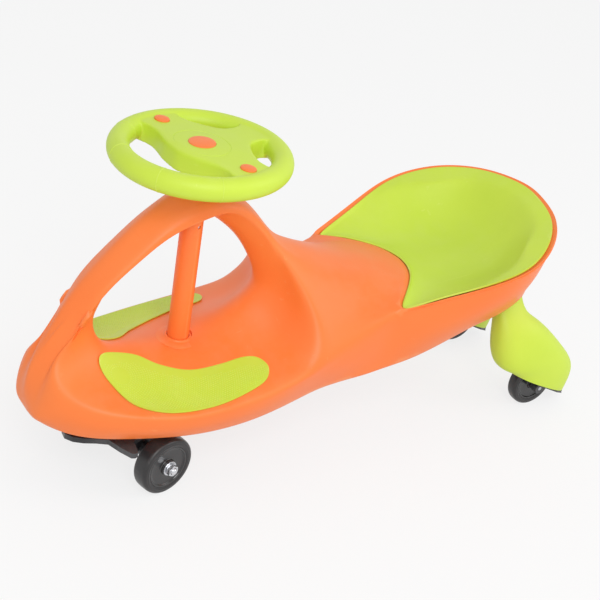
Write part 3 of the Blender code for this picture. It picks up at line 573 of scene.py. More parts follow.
def inwardArms(boundary):
    # plan directions square to the seat's outline, longer where it turns a corner
    points = [Vector(point[:2]) for point in boundary]
    points.insert(0, Vector((points[1].x, -points[1].y)))
    points.append(Vector((points[-2].x, -points[-2].y)))
    arms = []
    for before, point, after in zip(points, points[1:], points[2:]):
        one = (point - before).normalized()
        two = (after - point).normalized()
        normal = Vector((one.y + two.y, -one.x - two.x)).normalized()
        arms.append(normal / max(0.5, normal.dot(Vector((one.y, -one.x)))))
    return arms


def seatRings(boundary):
    rebate, shoulder = [], []
    inset = bodyForm["rebateWidth"]
    for (x, y, z), arm, (width, height) in zip(boundary, inwardArms(boundary), bodyForm["seatShoulder"]):
        rebate.append((x + arm.x * inset, y + arm.y * inset, z - bodyForm["seatStep"]))
        shoulder.append((x + arm.x * width, y + arm.y * width, height))
    return rebate, shoulder


def seatGrid(ring):
    # fills the shoulder ring with the bowl, from the centre plane to the side
    rows, floor = bodyForm["seatRows"], bodyForm["seatFloorZ"]
    columns = len(ring) - 1 - 2 * rows
    front, side, rear = ring[:rows + 1], ring[rows:rows + columns + 1], list(reversed(ring[rows + columns:]))
    grid = []
    for i in range(rows + 1):
        line = []
        for j in range(columns + 1):
            if j == 0:
                line.append(front[i])
            elif j == columns:
                line.append(rear[i])
            elif i == rows:
                line.append(side[j])
            else:
                u, v = j / columns, i / rows
                x = front[0][0] + (rear[0][0] - front[0][0]) * u
                x += v * v * (side[j][0] - x)
                toSide = (side[j][2] - floor) * v ** bodyForm["sideRise"]
                toRear = (rear[i][2] - floor) * u ** bodyForm["rearRise"]
                line.append((x, side[j][1] * v * (1 - 0.06 * v), floor + math.hypot(toSide, toRear)))
        grid.append(line)
    return grid


class Cage:
    def __init__(self):
        self.shape = bmesh.new()
        self.crease = self.shape.edges.layers.float.new("crease_edge")
        self.made = {}

    def vertex(self, point):
        if point not in self.made:
            self.made[point] = self.shape.verts.new([value * mm for value in point])
        return self.made[point]

    def strips(self, lines, group=0):
        for one, two in zip(lines, lines[1:]):
            for k in range(len(one) - 1):
                corners = [self.vertex(p) for p in (one[k], one[k + 1], two[k + 1], two[k])]
                self.shape.faces.new(corners).material_index = group

    def sharpen(self, line, amount):
        for one, two in zip(line, line[1:]):
            self.shape.edges.get((self.vertex(one), self.vertex(two)))[self.crease] = amount


def bodyCage():
    cage = Cage()
    deck, bow, corner = bodyForm["deckSpokes"], bodyForm["bowSpokes"], bodyForm["cornerSpokes"]
    hump, rim = bodyForm["humpColumns"], bodyForm["rimColumns"]
    cage.strips(deck + bow)
    cage.strips([spoke[:4] for spoke in (bow[-1], *corner, deck[0])])
    foot = [bow[-1][5], bow[-1][4], bow[-1][3], corner[0][3], *deck[0][3:]]
    cage.strips([foot] + hump)
    cage.strips([hump[-1][4:]] + rim)
    boundary = hump[-1][:5] + [column[0] for column in rim]
    rebate, shoulder = seatRings(boundary)
    cage.strips([boundary, rebate])
    cage.strips([rebate, shoulder], 1)
    cage.strips(seatGrid(shoulder), 1)
    cage.sharpen([spoke[2] for spoke in bow], 0.55)
    cage.sharpen([spoke[4] for spoke in bow[:7]], 0.45)
    cage.sharpen([spoke[3] for spoke in reversed(deck)] + [column[4] for column in hump], 0.35)
    cage.sharpen(boundary, 1.0)
    cage.sharpen(rebate, 1.0)
    cage.sharpen(shoulder[bodyForm["seatRows"]:], 0.4)
    cage.shape.verts.index_update()
    edge = {cage.vertex(point).index: arm for point, arm in zip(rebate, inwardArms(boundary))}
    return meshOf(cage.shape, "body_surface", tidy=False), edge


def drawThrough(mesh, rounds=5, half=True):
    # moves the cage outward until the smooth surface runs through the places first set
    aims = [vertex.co.copy() for vertex in mesh.vertices]
    guide = looseObject("cage_guide", mesh)
    if half:
        mirrorSide(guide)
    subdivide(guide, 1)
    for _ in range(rounds):
        mesh.update()
        bpy.context.view_layer.update()
        evaluated = guide.evaluated_get(bpy.context.evaluated_depsgraph_get())
        reached = evaluated.to_mesh()
        for vertex, aim in zip(mesh.vertices, aims):
            vertex.co += aim - reached.vertices[vertex.index].co
            if half and aim.y == 0:
                vertex.co.y = 0
        evaluated.to_mesh_clear()
    remove([guide])


def orientOutward(mesh):
    shape = bmesh.new()
    shape.from_mesh(mesh)
    bmesh.ops.recalc_face_normals(shape, faces=shape.faces)
    shape.to_mesh(mesh)
    shape.free()


bodySurface, seatEdge = bodyCage()
orientOutward(bodySurface)
drawThrough(bodySurface)

columnFit = {
    "boreRadius": 17.15, "boreBottom": 110, "boreTop": 380,
    "flareRadius": 27, "collarHeight": 3.2, "deckZ": 157,
}


def makeBody():
    shell = skinned(bodySurface.copy(), bodyForm["levels"], bodyForm["wall"], 0.7)
    hole = cylinder("column_hole", columnFit["boreRadius"], columnFit["boreBottom"], columnFit["boreTop"])
    mesh = cut(shell, [movedMesh(hole, shift(steering["columnX"], 0, 0))])
    finishPiece("body", mesh, "orange_plastic", "car_body", ["body_shell"], sharp=60)


makeBody()

print("seat bowl")


def makeSeat():
    shape = bmesh.new()
    shape.from_mesh(bodySurface)
    shape.verts.ensure_lookup_table()
    for index, arm in seatEdge.items():
        shape.verts[index].co += Vector((arm.x, arm.y, 0)) * bodyForm["seatEdgeGap"] * mm
    hull = [face for face in shape.faces if face.material_index == 0]
    bmesh.ops.delete(shape, geom=hull, context="FACES")
    for vertex in shape.verts:
        vertex.co.z += bodyForm["seatLift"] * mm
    seat = skinned(meshOf(shape, "seat_surface", tidy=False), bodyForm["levels"], bodyForm["seatThickness"],
                   0.8, offset=1)
    finishPiece("seat_bowl", seat, "lime_plastic", "car_body", ["seat_insert"], sharp=60)


makeSeat()

print("foot pads")

pads = {
    "outline": [(-314, 31), (-304, 20), (-284, 16), (-262, 22), (-240, 41), (-207, 59), (-169, 66),
                (-138, 67), (-122, 74), (-117, 91), (-131, 108), (-168, 116), (-209, 117), (-257, 109),
                (-290, 88), (-307, 56)],
    "deckBounds": (-345, -85, 175),   # from x, to x and below z lies the part of the deck that carries a pad
    "shaft": (100, 220),        # heights between which the outline cuts the pad from the deck's sheet
    "thickness": 1.6,
    "lift": 0.6,
    "dotRadius": 0.8,
    "dotHeight": 0.45,
    "dotSpacing": 2.9,
    "rowSpacing": 2.8,
    "firstRow": 12,
    "rows": 66,
    "arcCentre": (-292, 46, 300),
    "margin": 4.0,
    "bandPoints": (1, 9),       # the part of the outline that a band without dots follows
    "bandWidth": 12,
}


def deckSheet():
    guide = looseObject("deck_guide", bodySurface.copy())
    mirrorSide(guide)
    subdivide(guide, 4)
    mesh = baked(guide)
    orientOutward(mesh)
    shape = bmesh.new()
    shape.from_mesh(mesh)
    shape.normal_update()
    start, end, top = (value * mm for value in pads["deckBounds"])
    lost = []
    for face in shape.faces:
        centre = face.calc_center_median()
        inside = start < centre.x < end and 3 * mm < centre.y and centre.z < top
        if not (inside and face.normal.z > 0.5):
            lost.append(face)
    bmesh.ops.delete(shape, geom=lost, context="FACES")
    for vertex in shape.verts:
        vertex.co.z += pads["lift"] * mm
    return meshOf(shape, "deck_sheet", tidy=False)


def lineMesh(name, points, closed):
    shape = bmesh.new()
    made = [shape.verts.new((x * mm, y * mm, 0)) for x, y in points]
    for one, two in zip(made, made[1:] + (made[:1] if closed else [])):
        shape.edges.new((one, two))
    return meshOf(shape, name, tidy=False)


def runTree(name, tree, source, values):
    # the tree's result on a mesh as a plain mesh
    thing = looseObject(name, source)
    modify(thing, "NODES", node_group=tree)
    for item in tree.interface.items_tree:
        if item.item_type == "SOCKET" and item.in_out == "INPUT" and item.name in values:
            thing.modifiers[0][item.identifier] = values[item.name]
    return baked(thing)


def makeDotTree():
    # rings of small domes dropped on a surface, kept off its outline and off a band
    tree, source, sink = newGroup("gripDots", "GeometryNodeTree", [
        ("Geometry", "Geometry"), ("Outline", "Object"), ("Band", "Object"), ("Dot", "Object"),
        ("Centre", "Vector"), ("Rows", "Int", 40), ("First Row", "Float", 0.01),
        ("Row Spacing", "Float", 0.004), ("Dot Spacing", "Float", 0.004), ("Margin", "Float", 0.005),
        ("Band Width", "Float", 0.012), ("Material", "Material")], [("Geometry", "Geometry")])
    tree.is_modifier = True

    def add(kind, inputs, output=0, **settings):
        # adds a node and gives back one of its outputs
        return addNode(tree, kind, inputs, **settings).outputs[output]

    def objectGeometry(label):
        return add("GeometryNodeObjectInfo", {"Object": source[label]}, "Geometry",
                   transform_space="ORIGINAL")

    def without(geometry, lost):
        return add("GeometryNodeDeleteGeometry", {"Geometry": geometry, "Selection": lost}, domain="POINT")

    def near(label, reach):
        place = add("GeometryNodeInputPosition", {})
        flat = add("ShaderNodeVectorMath", {0: place, 1: (1, 1, 0)}, operation="MULTIPLY")
        line = {"Geometry": objectGeometry(label), "Sample Position": flat}
        distance = add("GeometryNodeProximity", line, "Distance", target_element="EDGES")
        return add("FunctionNodeCompare", {"A": distance, "B": source[reach]}, data_type="FLOAT",
                   operation="LESS_THAN")

    rows = add("GeometryNodeMeshLine", {"Count": source["Rows"], "Start Location": source["Centre"],
                                        "Offset": (0, 0, 0)})
    index = add("GeometryNodeInputIndex", {})
    radius = add("ShaderNodeMath", {0: index, 1: source["Row Spacing"], 2: source["First Row"]},
                 operation="MULTIPLY_ADD")
    circle = add("GeometryNodeCurvePrimitiveCircle", {"Resolution": 128, "Radius": 1.0}, mode="RADIUS")
    scale = add("ShaderNodeCombineXYZ", {"X": radius, "Y": radius, "Z": 1.0})
    rings = add("GeometryNodeInstanceOnPoints", {"Points": rows, "Instance": circle, "Scale": scale})
    rings = add("GeometryNodeRealizeInstances", {"Geometry": rings})
    points = add("GeometryNodeCurveToPoints", {"Curve": rings, "Length": source["Dot Spacing"]},
                 mode="LENGTH")
    ray = {"Target Geometry": source["Geometry"], "Ray Direction": (0, 0, -1), "Ray Length": 1.0}
    drop = addNode(tree, "GeometryNodeRaycast", ray).outputs
    # the normal is stored before the points move, because the ray starts anew after it
    lean = {"Geometry": points, "Name": "lean", "Value": drop["Hit Normal"], "Selection": drop["Is Hit"]}
    stored = add("GeometryNodeStoreNamedAttribute", lean, data_type="FLOAT_VECTOR", domain="POINT")
    missed = add("FunctionNodeBooleanMath", {0: drop["Is Hit"]}, operation="NOT")
    seated = add("GeometryNodeSetPosition", {"Geometry": without(stored, missed),
                                             "Position": drop["Hit Position"]})
    either = add("FunctionNodeBooleanMath", {0: near("Outline", "Margin"), 1: near("Band", "Band Width")},
                 operation="OR")
    lean = add("GeometryNodeInputNamedAttribute", {"Name": "lean"}, "Attribute", data_type="FLOAT_VECTOR")
    turn = add("FunctionNodeAlignRotationToVector", {"Vector": lean}, axis="Z")
    dots = add("GeometryNodeInstanceOnPoints", {"Points": without(seated, either), "Rotation": turn,
                                                "Instance": objectGeometry("Dot")})
    dots = add("GeometryNodeRealizeInstances", {"Geometry": dots})
    dressed = add("GeometryNodeSetMaterial", {"Geometry": dots, "Material": source["Material"]})
    feed(tree, sink["Geometry"], dressed)
    return tree


def makePads():
    outline = smoothOutline(pads["outline"])
    thick = looseObject("pad_guide", deckSheet())
    modify(thick, "SOLIDIFY", thickness=pads["thickness"] * mm, offset=1, use_even_offset=False)
    shaft = prism("pad_shaft", outline, *pads["shaft"])
    rounded = looseObject("pad_round", cut(baked(thick), [shaft], "INTERSECT"))
    bevelEdges(rounded, 0.6, angle=60)
    padMesh = baked(rounded)
    radius, height, foot = pads["dotRadius"], pads["dotHeight"], -0.1
    dot = turnedMesh("grip_dot", [(0, height), (radius * 0.55, height * 0.82), (radius * 0.9, height * 0.35),
                                  (radius, foot), (0, foot)], 7)
    band = pads["outline"][slice(*pads["bandPoints"])]
    helpers = {"Dot": looseObject("grip_dot", dot),
               "Outline": looseObject("pad_outline", lineMesh("pad_outline", outline, True)),
               "Band": looseObject("pad_band", lineMesh("pad_band", band, False))}
    lengths = {"First Row": "firstRow", "Row Spacing": "rowSpacing", "Dot Spacing": "dotSpacing",
               "Margin": "margin", "Band Width": "bandWidth"}
    values = {label: pads[key] * mm for label, key in lengths.items()}
    values |= {"Centre": [value * mm for value in pads["arcCentre"]], "Rows": pads["rows"],
               "Material": finishes["lime_plastic"], **helpers}
    dotMesh = runTree("pad_dots", makeDotTree(), padMesh.copy(), values)
    print("grip dots per pad:", len(dotMesh.vertices) // len(dot.vertices))
    for label, change in bothSidesOf.items():
        finishPiece("foot_pad_top_" + label, change(padMesh), "lime_plastic", "car_body",
                    ["foot_pad_" + label], sharp=50)
        finishPiece("foot_pad_dots_" + label, change(dotMesh), "lime_plastic", "car_body", sharp=70)
    remove(helpers.values())


makePads()

print("steering wheel")

tuneButton = {"setBack": 3, "radius": 10, "squeeze": 0.84, "top": 417.1}
buttons = {
    "horn": {"node": "horn_button", "offset": 0, "setBack": 0, "radius": 16, "squeeze": 1.0, "top": 418.3},
    "tune_left": {"node": "tune_button_left", "offset": -75, **tuneButton},
    "tune_right": {"node": "tune_button_right", "offset": 75, **tuneButton},
}
buttonFit = {"gap": 0.3, "wellBottom": 405, "wellTop": 440, "capBottom": 409.5,
             "stemBottom": 401, "stemShare": 0.35}
wheelForm = {
    "rimRadius": 94.5,
    "rimAcross": 13.3,           # half the rim's width
    "rimUp": 14.0,               # half its height
    "rimCentreZ": 403,
    "hubTop": 414.5,
    "hubDome": 2.0,
    "domeReach": (45, 62),
    "hubCorner": 2.5,
    "hubBottom": 390,
    "hubRoof": 3,                # plastic left above the hub's cavity
    "cavityBottom": 350,
    "draft": 2.0,
    "voxel": 1.25,
    # half outlines for y >= 0
    "hubSide": [(-36, 0), (-34, 14), (-31, 28), (-25.5, 43), (-22, 55), (-21, 68), (-22, 84), (0, 92),
                (27, 84), (30, 66), (36.5, 50), (45, 35), (55, 24), (72, 21), (86, 24), (93, 0)],
    "cavitySide": [(-31, 0), (-29, 14), (-26, 27), (-20.5, 41), (-17, 54), (-15, 66), (-12, 76), (3, 80),
                   (18, 76), (24, 62), (30, 47), (38, 30), (43, 14), (44, 0)],
    "ovalRing": (30, 36.5, 0.75),    # half sizes of the engraved ring, groove radius
    "seamAngles": (118, 158),        # where the grips' end lines cross the rim
    "seamRadius": 0.45,
    "seamSink": 0.15,
}


def bothSides(half, resolution):
    return smoothOutline(half + [(x, -y) for x, y in reversed(half[1:-1])], resolution)


def hubHeight(x, y):
    across, along = wheelForm["domeReach"]
    reach = min(1.0, (x / across) ** 2 * 0.5 + (y / along) ** 2)
    return wheelForm["hubTop"] + wheelForm["hubDome"] * (1 - reach) ** 1.5


def ringTube(name, path, radius, sides=10):
    # a closed tube along a closed path of points
    rings = []
    for before, point, after in zip(path[-1:] + path, path, path[1:] + path[:1]):
        along = (Vector(after) - Vector(before)).normalized()
        side = along.cross(Vector((0, 0, 1))).normalized()
        up = side.cross(along)
        rings.append([Vector(point) + side * (radius * c) + up * (radius * s) for c, s in around(sides)])
    return loft(name, rings, "joined")


def rimSection(count, inset=0.0):
    # radius and height of points round the rim's section
    across, up = wheelForm["rimAcross"] - inset, wheelForm["rimUp"] - inset
    return [(wheelForm["rimRadius"] + across * c, wheelForm["rimCentreZ"] + up * s) for c, s in around(count)]


def shrink(point, inset):
    reach = math.hypot(*point)
    return [value * (1 - inset / reach) for value in point]


def hubMesh():
    # rings of the hub's outline from its foot to its rounded top edge, then a domed top
    outline = bothSides(wheelForm["hubSide"], 6)
    top, corner, draft = wheelForm["hubTop"], wheelForm["hubCorner"], wheelForm["draft"]
    levels = [(-draft, wheelForm["hubBottom"]), (-0.45 * draft, top - corner * 2.4),
              (-0.15 * draft, top - corner)]
    for angle in (math.pi / 6, math.pi / 3, math.pi / 2):
        levels.append((corner * (1 - math.cos(angle)), top - corner * (1 - math.sin(angle))))
    rings = [[(*shrink(p, inset), z) for p in outline] for inset, z in levels]
    for share in (0.8, 0.6, 0.4, 0.2, 0.05):
        ring = [[share * value for value in shrink(p, corner)] for p in outline]
        rings.append([(x, y, hubHeight(x, y)) for x, y in ring])
    return loft("wheel_hub", rings)


def joined(name, meshes):
    shape = bmesh.new()
    for mesh in meshes:
        shape.from_mesh(mesh)
    return meshOf(shape, name, tidy=False)


def fused(mesh, voxel, rounds):
    # runs overlapping closed forms into one skin with small fillets
    thing = looseObject("fuse", mesh)
    modify(thing, "REMESH", mode="VOXEL", voxel_size=voxel * mm, adaptivity=0.0)
    modify(thing, "SMOOTH", factor=0.5, iterations=rounds)
    return baked(thing)


def atButton(mesh, form):
    # narrows a round mesh and moves it to the button's place
    narrowed = Matrix.Diagonal((form["squeeze"], 1, 1, 1))
    return movedMesh(mesh, shift(form["setBack"], form["offset"], 0) @ narrowed)


def makeSteeringWheel():
    rim = turnedMesh("wheel_rim", rimSection(32), 144)
    mesh = fused(joined("wheel_forms", [rim, hubMesh()]), wheelForm["voxel"], 7)
    a, b, groove = wheelForm["ovalRing"]
    oval = [(a * c, b * s, hubHeight(a * c, b * s) + groove * 0.35) for c, s in around(96)]
    cavity = bothSides(wheelForm["cavitySide"], 4)
    roof = wheelForm["hubTop"] - wheelForm["hubRoof"]
    cutters = [prism("hub_cavity", cavity, wheelForm["cavityBottom"], roof),
               ringTube("oval_groove", oval, groove)]
    for form in buttons.values():
        well = cylinder("button_well", form["radius"] + buttonFit["gap"], buttonFit["wellBottom"],
                        buttonFit["wellTop"])
        cutters.append(atButton(well, form))
    finishPiece("steering_wheel_moulding", cut(mesh, cutters), "lime_plastic", "steering", ["steering_wheel"],
                steeringFrame, 50)
    seams = []
    for turn in wheelForm["seamAngles"]:
        for sign in (-1, 1):
            angle = math.radians(sign * turn)
            path = [(r * math.cos(angle), r * math.sin(angle), z)
                    for r, z in rimSection(48, wheelForm["seamSink"])]
            seams.append(ringTube("grip_seam", path, wheelForm["seamRadius"], 6))
    finishPiece("grip_seams", joined("grip_seams", seams), "lime_plastic", "steering", place=steeringFrame)


makeSteeringWheel()

print("buttons and column")


def makeButtons():
    cap, stemBottom = buttonFit["capBottom"], buttonFit["stemBottom"]
    for body, form in buttons.items():
        radius, top = form["radius"], form["top"]
        stem = radius * buttonFit["stemShare"]
        mesh = turnedMesh(body, [(0, top), (radius * 0.45, top - 0.12), (radius * 0.8, top - 0.5),
                                 (radius, top - 1.1, 0.9), (radius, cap, 0.3), (stem, cap, 0.3),
                                 (stem, stemBottom, 0.3), (0, stemBottom)])
        finishPiece(form["node"] + "_cap", atButton(mesh, form), "orange_plastic", body, [form["node"]],
                    steeringFrame)


makeButtons()

column = {"radius": 13.5, "bore": 5.35, "bottom": 129, "top": 350, "screwZ": 313, "screwRadius": 2.3}


def makeColumn():
    sleeve = tube(column["radius"], column["bore"], column["bottom"], column["top"], 0.6)
    hole = cylinder("screw_hole", column["screwRadius"], -20, 20, 24)
    hole.transform(shift(0, 0, column["screwZ"]) @ Matrix.Rotation(math.pi / 2, 4, "X"))
    finishPiece("column_tube", cut(turnedMesh("column", sleeve, 72), [hole]), "orange_plastic", "steering",
                ["column_sleeve"], steeringFrame)
    # collar that the column rises from, with a soft flare into the deck
    inner, outer, deck = column["radius"] + 0.5, columnFit["flareRadius"], columnFit["deckZ"]
    top = deck + columnFit["collarHeight"]
    collar = [(inner, top, 0.5), (inner + 2.4, top, 0.8), (inner + 3.6, deck + 1.2, 1.5), (outer, deck - 0.6),
              (outer, deck - 2.4), (inner, deck - 2.4)]
    finishPiece("deck_collar", turnedMesh("collar", collar, 72), "orange_plastic", "car_body",
                place=columnFrame, sharp=50)


makeColumn()

print("turned parts")

sides = {"left": -1, "right": 1}
wheels = {
    "front": {"radius": 38, "width": 24, "bore": 4.35, "steps": 128},
    "rear": {"radius": 35, "width": 18, "bore": 3.35, "steps": 112},
    "tyreInner": 0.74, "tyreSide": 0.86,      # shares of the wheel's radius
    "ahead": 69, "frontFace": 85.5, "rearX": 340, "rearY": 89.5,
}
axles = {"radius": 4, "half": 96.7, "thread": 12, "rearRadius": 3, "rearHalf": 23}
bearings = {"outer": 16.85, "bore": 13.85, "flange": 21.85, "flangeHeight": 2.5, "deckTop": 158.2,
            "bowBottom": 330, "bowTop": 364}
fasteners = {
    "washer": {"outer": 9.5, "inner": 4.15, "height": 1.6},
    "nut": {"flats": 13, "bore": 4.4, "height": 6.5},
    "shaftNut": {"flats": 16.25, "bore": 5.4, "height": 8},
    "thrustWasher": {"outer": 20.85, "inner": 13.85, "bottom": 124.3, "top": 125.9},
    "shaftNutZ": 49.7,
}


def tyreProfile(form):
    radius, half = form["radius"], form["width"] / 2
    inner, side = radius * wheels["tyreInner"], radius * wheels["tyreSide"]
    return mirroredProfile([(inner, half - 1, 0.4), (side - 1.2, half - 0.2, 0.8), (side, half - 0.7, 0.5),
                            (side + 1.2, half - 0.5, 0.8), (radius - 0.4, half - 2.6, 3.2)], [(radius, 0)])


def hubProfile(form):
    bore, half, dish = form["bore"], form["width"] / 2 - 0.2, form["width"] / 2 - 3.2
    boss, outer = bore + 5.5, form["radius"] * wheels["tyreInner"] - 0.15
    edge = half - 0.9
    return mirroredProfile([(bore, half, 0.3), (boss, half, 0.6), (boss + 0.8, dish, 1.2),
                            (outer - 3.4, dish, 1.4), (outer - 2.2, edge, 0.8), (outer, edge, 0.3)])


def nutMesh(name, flats, bore, height, steps=72):
    # a hexagon whose corners are rounded off by a cone at both ends
    rings = []
    for k, (c, s) in enumerate(around(steps)):
        fold = (2 * math.pi * k / steps + math.pi / 6) % (math.pi / 3) - math.pi / 6
        hexagon = flats / 2 / math.cos(fold)
        drop = (hexagon - flats / 2) * 0.6 + 0.1
        profile = [(bore + 0.5, height), (flats / 2 - 0.2, height), (hexagon, height - drop), (hexagon, drop),
                   (flats / 2 - 0.2, 0), (bore + 0.5, 0), (bore, 0.5), (bore, height - 0.5)]
        rings.append([(r * c, r * s, z) for r, z in profile])
    return loft(name, rings, "joined")


def threadedRod(radius, half, threadLength, pitch=1.25):
    # the ends of the rod carry the rings of a thread
    profile = [(0, half), (radius - 1, half), (radius - 0.35, half - 0.7)]
    z = half - 0.9
    while z > half - threadLength:
        profile += [(radius, z), (radius - 0.45, z - pitch / 2)]
        z -= pitch
    return mirroredProfile(profile + [(radius, z)])


def onAxle(base, x, y, z, side):
    # a place whose own Z points outward along an axle
    return base @ shift(x, y, z) @ Matrix.Rotation(side * -math.pi / 2, 4, "X")


def makeWheel(end, label, place):
    form, body = wheels[end], f"{end}_wheel_{label}"
    tyre = turnedMesh("tyre", tyreProfile(form), form["steps"])
    hub = turnedMesh("hub", hubProfile(form), form["steps"])
    finishPiece(f"{end}_wheel_rim_{label}", tyre, "black_tyre", body, [f"{end}_tyre_{label}"], place)
    finishPiece(f"{end}_wheel_disc_{label}", hub, "black_plastic", body, [f"{end}_hub_{label}"], place)


def makeSteelPiece(name, mesh, body, node, place, sharp=35):
    finishPiece(name, mesh, "zinc_steel", body, [node], place, sharp)


def makeFrontEnd():
    radius, half, form = wheels["front"]["radius"], wheels["front"]["width"] / 2, fasteners["washer"]
    foot = half + 0.3
    top = foot + form["height"]
    washer = turnedMesh("washer", tube(form["outer"], form["inner"], foot, top, 0.35))
    nut = movedMesh(nutMesh("nut", **fasteners["nut"]), shift(0, 0, top + 0.3))
    for label, side in sides.items():
        place = onAxle(steeringFrame, -wheels["ahead"], side * (wheels["frontFace"] - half), radius, side)
        makeWheel("front", label, place)
        makeSteelPiece("front_washer_" + label, washer.copy(), "steering", "axle_washer_" + label, place)
        makeSteelPiece("front_nut_" + label, nut.copy(), "steering", "axle_nut_" + label, place, 25)
    axle = turnedMesh("axle", threadedRod(axles["radius"], axles["half"], axles["thread"]), 40)
    makeSteelPiece("front_axle_rod", axle, "steering", "front_axle",
                   onAxle(steeringFrame, -wheels["ahead"], 0, radius, -1), 25)


def makeRearEnd():
    half = axles["rearHalf"]
    for label, side in sides.items():
        place = onAxle(carFrame, wheels["rearX"], side * wheels["rearY"], wheels["rear"]["radius"], side)
        makeWheel("rear", label, place)
        axle = cylinder("rear_axle", axles["rearRadius"], -half, half, 32, 0.5)
        makeSteelPiece("rear_axle_rod_" + label, axle, "car_body", "rear_axle_" + label, place)


def bushMesh(name, start, flangeEnd, end, corner=0.4):
    # a flanged bush from its flange's face to its plain end, drawn up or down
    outer, bore, flange = bearings["outer"], bearings["bore"], bearings["flange"]
    return turnedMesh(name, [(flange, start, corner), (flange, flangeEnd, 0.4), (outer, flangeEnd),
                             (outer, end, 0.4), (bore, end, 0.4), (bore, start, 0.4)])


def makeBearings():
    flangeTop, deep = column["bottom"] - 0.3, bearings["flangeHeight"]
    deckBush = bushMesh("deck_bush", flangeTop - deep, flangeTop, bearings["deckTop"])
    finishPiece("deck_bearing", deckBush, "white_nylon", "car_body", ["deck_bush"], columnFrame)
    bowBush = bushMesh("bow_bush", bearings["bowTop"], bearings["bowTop"] - deep, bearings["bowBottom"], 0.6)
    finishPiece("bow_bearing", bowBush, "white_nylon", "car_body", ["bow_bush"], columnFrame)
    washer = turnedMesh("thrust_washer", tube(**fasteners["thrustWasher"]))
    makeSteelPiece("thrust_ring", washer, "steering", "thrust_washer", steeringFrame)
    nut = movedMesh(nutMesh("shaft_nut", **fasteners["shaftNut"]), shift(0, 0, fasteners["shaftNutZ"]))
    makeSteelPiece("shaft_end_nut", nut, "steering", "shaft_nut", steeringFrame, 25)


makeFrontEnd()
makeRearEnd()
makeBearings()

print("rear legs")

legs = {
    # centre x, centre z, half length, half width, tilt, centre y, from the neck to the fender's edge
    "sections": [(286, 191.7, 23, 13, 0, 55), (287, 168, 22.5, 13, 0, 56), (287, 144, 26, 18, 8, 71),
                 (298, 116, 41, 25, 20, 83), (322, 85, 55, 28, 8, 89.5), (342, 62, 63, 29, -6, 89.5),
                 (344, 40, 60, 29, -24, 89.5)],
    "ringPoints": 14,
    "roundness": 0.8,            # 1 gives ovals, less gives squarer rings
    "wall": 2.6,
    "levels": 3,
}


def legRing(section):
    cx, cz, halfLength, halfWidth, tilt, cy = section
    angle = math.radians(tilt)
    ring = []
    for k in range(legs["ringPoints"]):
        turn = 2 * math.pi * (k + 0.5) / legs["ringPoints"]
        along, across = (math.copysign(abs(share) ** legs["roundness"], share) * half
                         for share, half in ((math.cos(turn), halfLength), (math.sin(turn), halfWidth)))
        ring.append((cx + along * math.cos(angle), cy + across, cz + along * math.sin(angle)))
    return ring


def makeLegs():
    mesh = loft("leg_cage", [legRing(section) for section in legs["sections"]], "open")
    orientOutward(mesh)
    drawThrough(mesh, 4, half=False)
    legMesh = skinned(mesh, legs["levels"], legs["wall"], 0.8, mirrored=False)
    for label, change in bothSidesOf.items():
        finishPiece("leg_fender_" + label, change(legMesh), "lime_plastic", "car_body", ["rear_leg_" + label],
                    sharp=50)


makeLegs()

print("carried-over solids")

finishOf = {
    "hub_cover": "lime_plastic", "steering_shaft": "zinc_steel", "column_pin": "zinc_steel",
    "neck_pin": "zinc_steel", "sound_board": "board_green", "truck_frame": "frame_black",
    "wheel_carrier_left": "frame_black", "wheel_carrier_right": "frame_black",
}
for node, finish in finishOf.items():
    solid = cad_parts[node]
    solid.data.materials.clear()
    solid.data.materials.append(finishes[finish])

print("studio")

studio = {
    "worldStrength": 0.62,
    "floorLift": 0.78,      # share of plain white that the camera sees in the floor
    "lampAim": (0, 0, 0.2),
}
lamps = {
    "key": {"place": (-1.1, -2.1, 2.1), "power": 34.0, "size": 1.6},
    "fill": {"place": (1.8, -1.4, 1.5), "power": 14.0, "size": 1.8},
}
cameraView = {
    "place": (-0.9463, -1.2388, 1.0365), "azimuth": 36.5265, "elevation": 29.0967, "roll": 9.9761,
    "sensor": 36, "lens": 1371.2432 * 36 / 600,
}


def whiteToCamera(tree, shader, white, share, output):
    # the lit shader, with this share of plain white where the camera or a mirror sees it
    rays = tree.nodes.new("ShaderNodeLightPath").outputs
    seen = math2(tree, "MAXIMUM", rays["Is Camera Ray"], rays["Is Glossy Ray"])
    seen = math2(tree, "MAXIMUM", seen, rays["Is Transmission Ray"])
    both = addNode(tree, "ShaderNodeMixShader", {0: times(tree, seen, share), 1: shader.outputs[0],
                                                 2: white.outputs[0]})
    feed(tree, tree.nodes.new(output).inputs["Surface"], both.outputs[0])


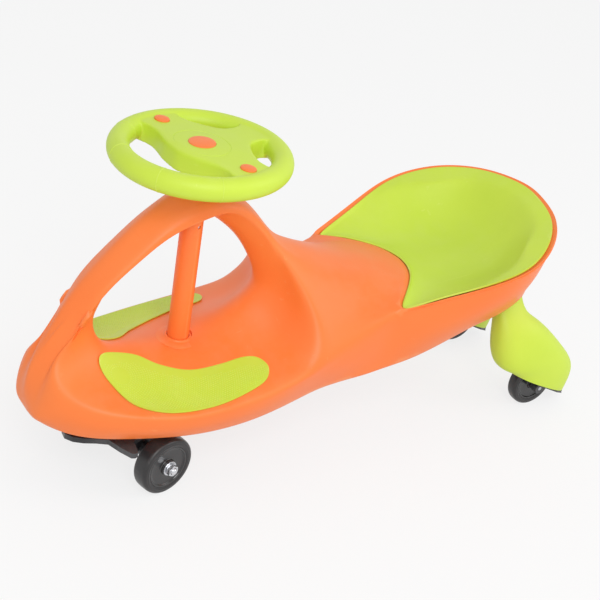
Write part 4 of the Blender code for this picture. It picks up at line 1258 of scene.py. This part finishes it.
def makeWorld():
    scene.world = bpy.data.worlds.new("studio")
    scene.world.use_nodes = True
    tree = scene.world.node_tree
    tree.nodes.clear()
    soft, white = (addNode(tree, "ShaderNodeBackground", {"Color": (1, 1, 1), "Strength": strength})
                   for strength in (studio["worldStrength"], 1.0))
    whiteToCamera(tree, soft, white, 1.0, "ShaderNodeOutputWorld")


def makeFloor():
    shape = bmesh.new()
    bmesh.ops.create_grid(shape, x_segments=1, y_segments=1, size=8.0)
    floor = looseObject("studio_floor", meshOf(shape, "studio_floor"))
    material = bpy.data.materials.new("paleFloor")
    material.use_nodes = True
    tree = material.node_tree
    tree.nodes.clear()
    place = tree.nodes.new("ShaderNodeTexCoord").outputs["Object"]
    tone = mix(tree, noise(tree, place, 3.0, 2.0), (0.84, 0.84, 0.84), (0.86, 0.86, 0.86))
    paper = addNode(tree, "ShaderNodeBsdfDiffuse", {"Color": tone})
    glow = addNode(tree, "ShaderNodeEmission", {"Color": (1, 1, 1), "Strength": 1.0})
    whiteToCamera(tree, paper, glow, studio["floorLift"], "ShaderNodeOutputMaterial")
    floor.data.materials.append(material)


def makeLamp(name, form):
    lamp = bpy.data.lights.new(name, "AREA")
    lamp.energy, lamp.size, lamp.shape = form["power"], form["size"], "DISK"
    thing = looseObject(name, lamp)
    thing.location = form["place"]
    aim = Vector(studio["lampAim"]) - Vector(form["place"])
    thing.rotation_euler = aim.to_track_quat("-Z", "Y").to_euler()


def makeCamera():
    azimuth, elevation, roll = (math.radians(cameraView[key]) for key in ("azimuth", "elevation", "roll"))
    back = Vector((-math.sin(azimuth) * math.cos(elevation), -math.cos(azimuth) * math.cos(elevation),
                   math.sin(elevation)))
    level = (-back).cross(Vector((0, 0, 1))).normalized()
    up = level.cross(-back)
    turned = Matrix((math.cos(roll) * level + math.sin(roll) * up,
                     math.cos(roll) * up - math.sin(roll) * level, back)).transposed()
    camera = bpy.data.cameras.new("camera")
    camera.sensor_width, camera.lens = cameraView["sensor"], cameraView["lens"]
    camera.clip_start, camera.clip_end = 0.05, 50
    scene.camera = looseObject("camera", camera)
    scene.camera.matrix_world = Matrix.Translation(cameraView["place"]) @ turned.to_4x4()


makeWorld()
makeFloor()
for name, form in lamps.items():
    makeLamp(name, form)
makeCamera()
scene.view_settings.view_transform = "Standard"
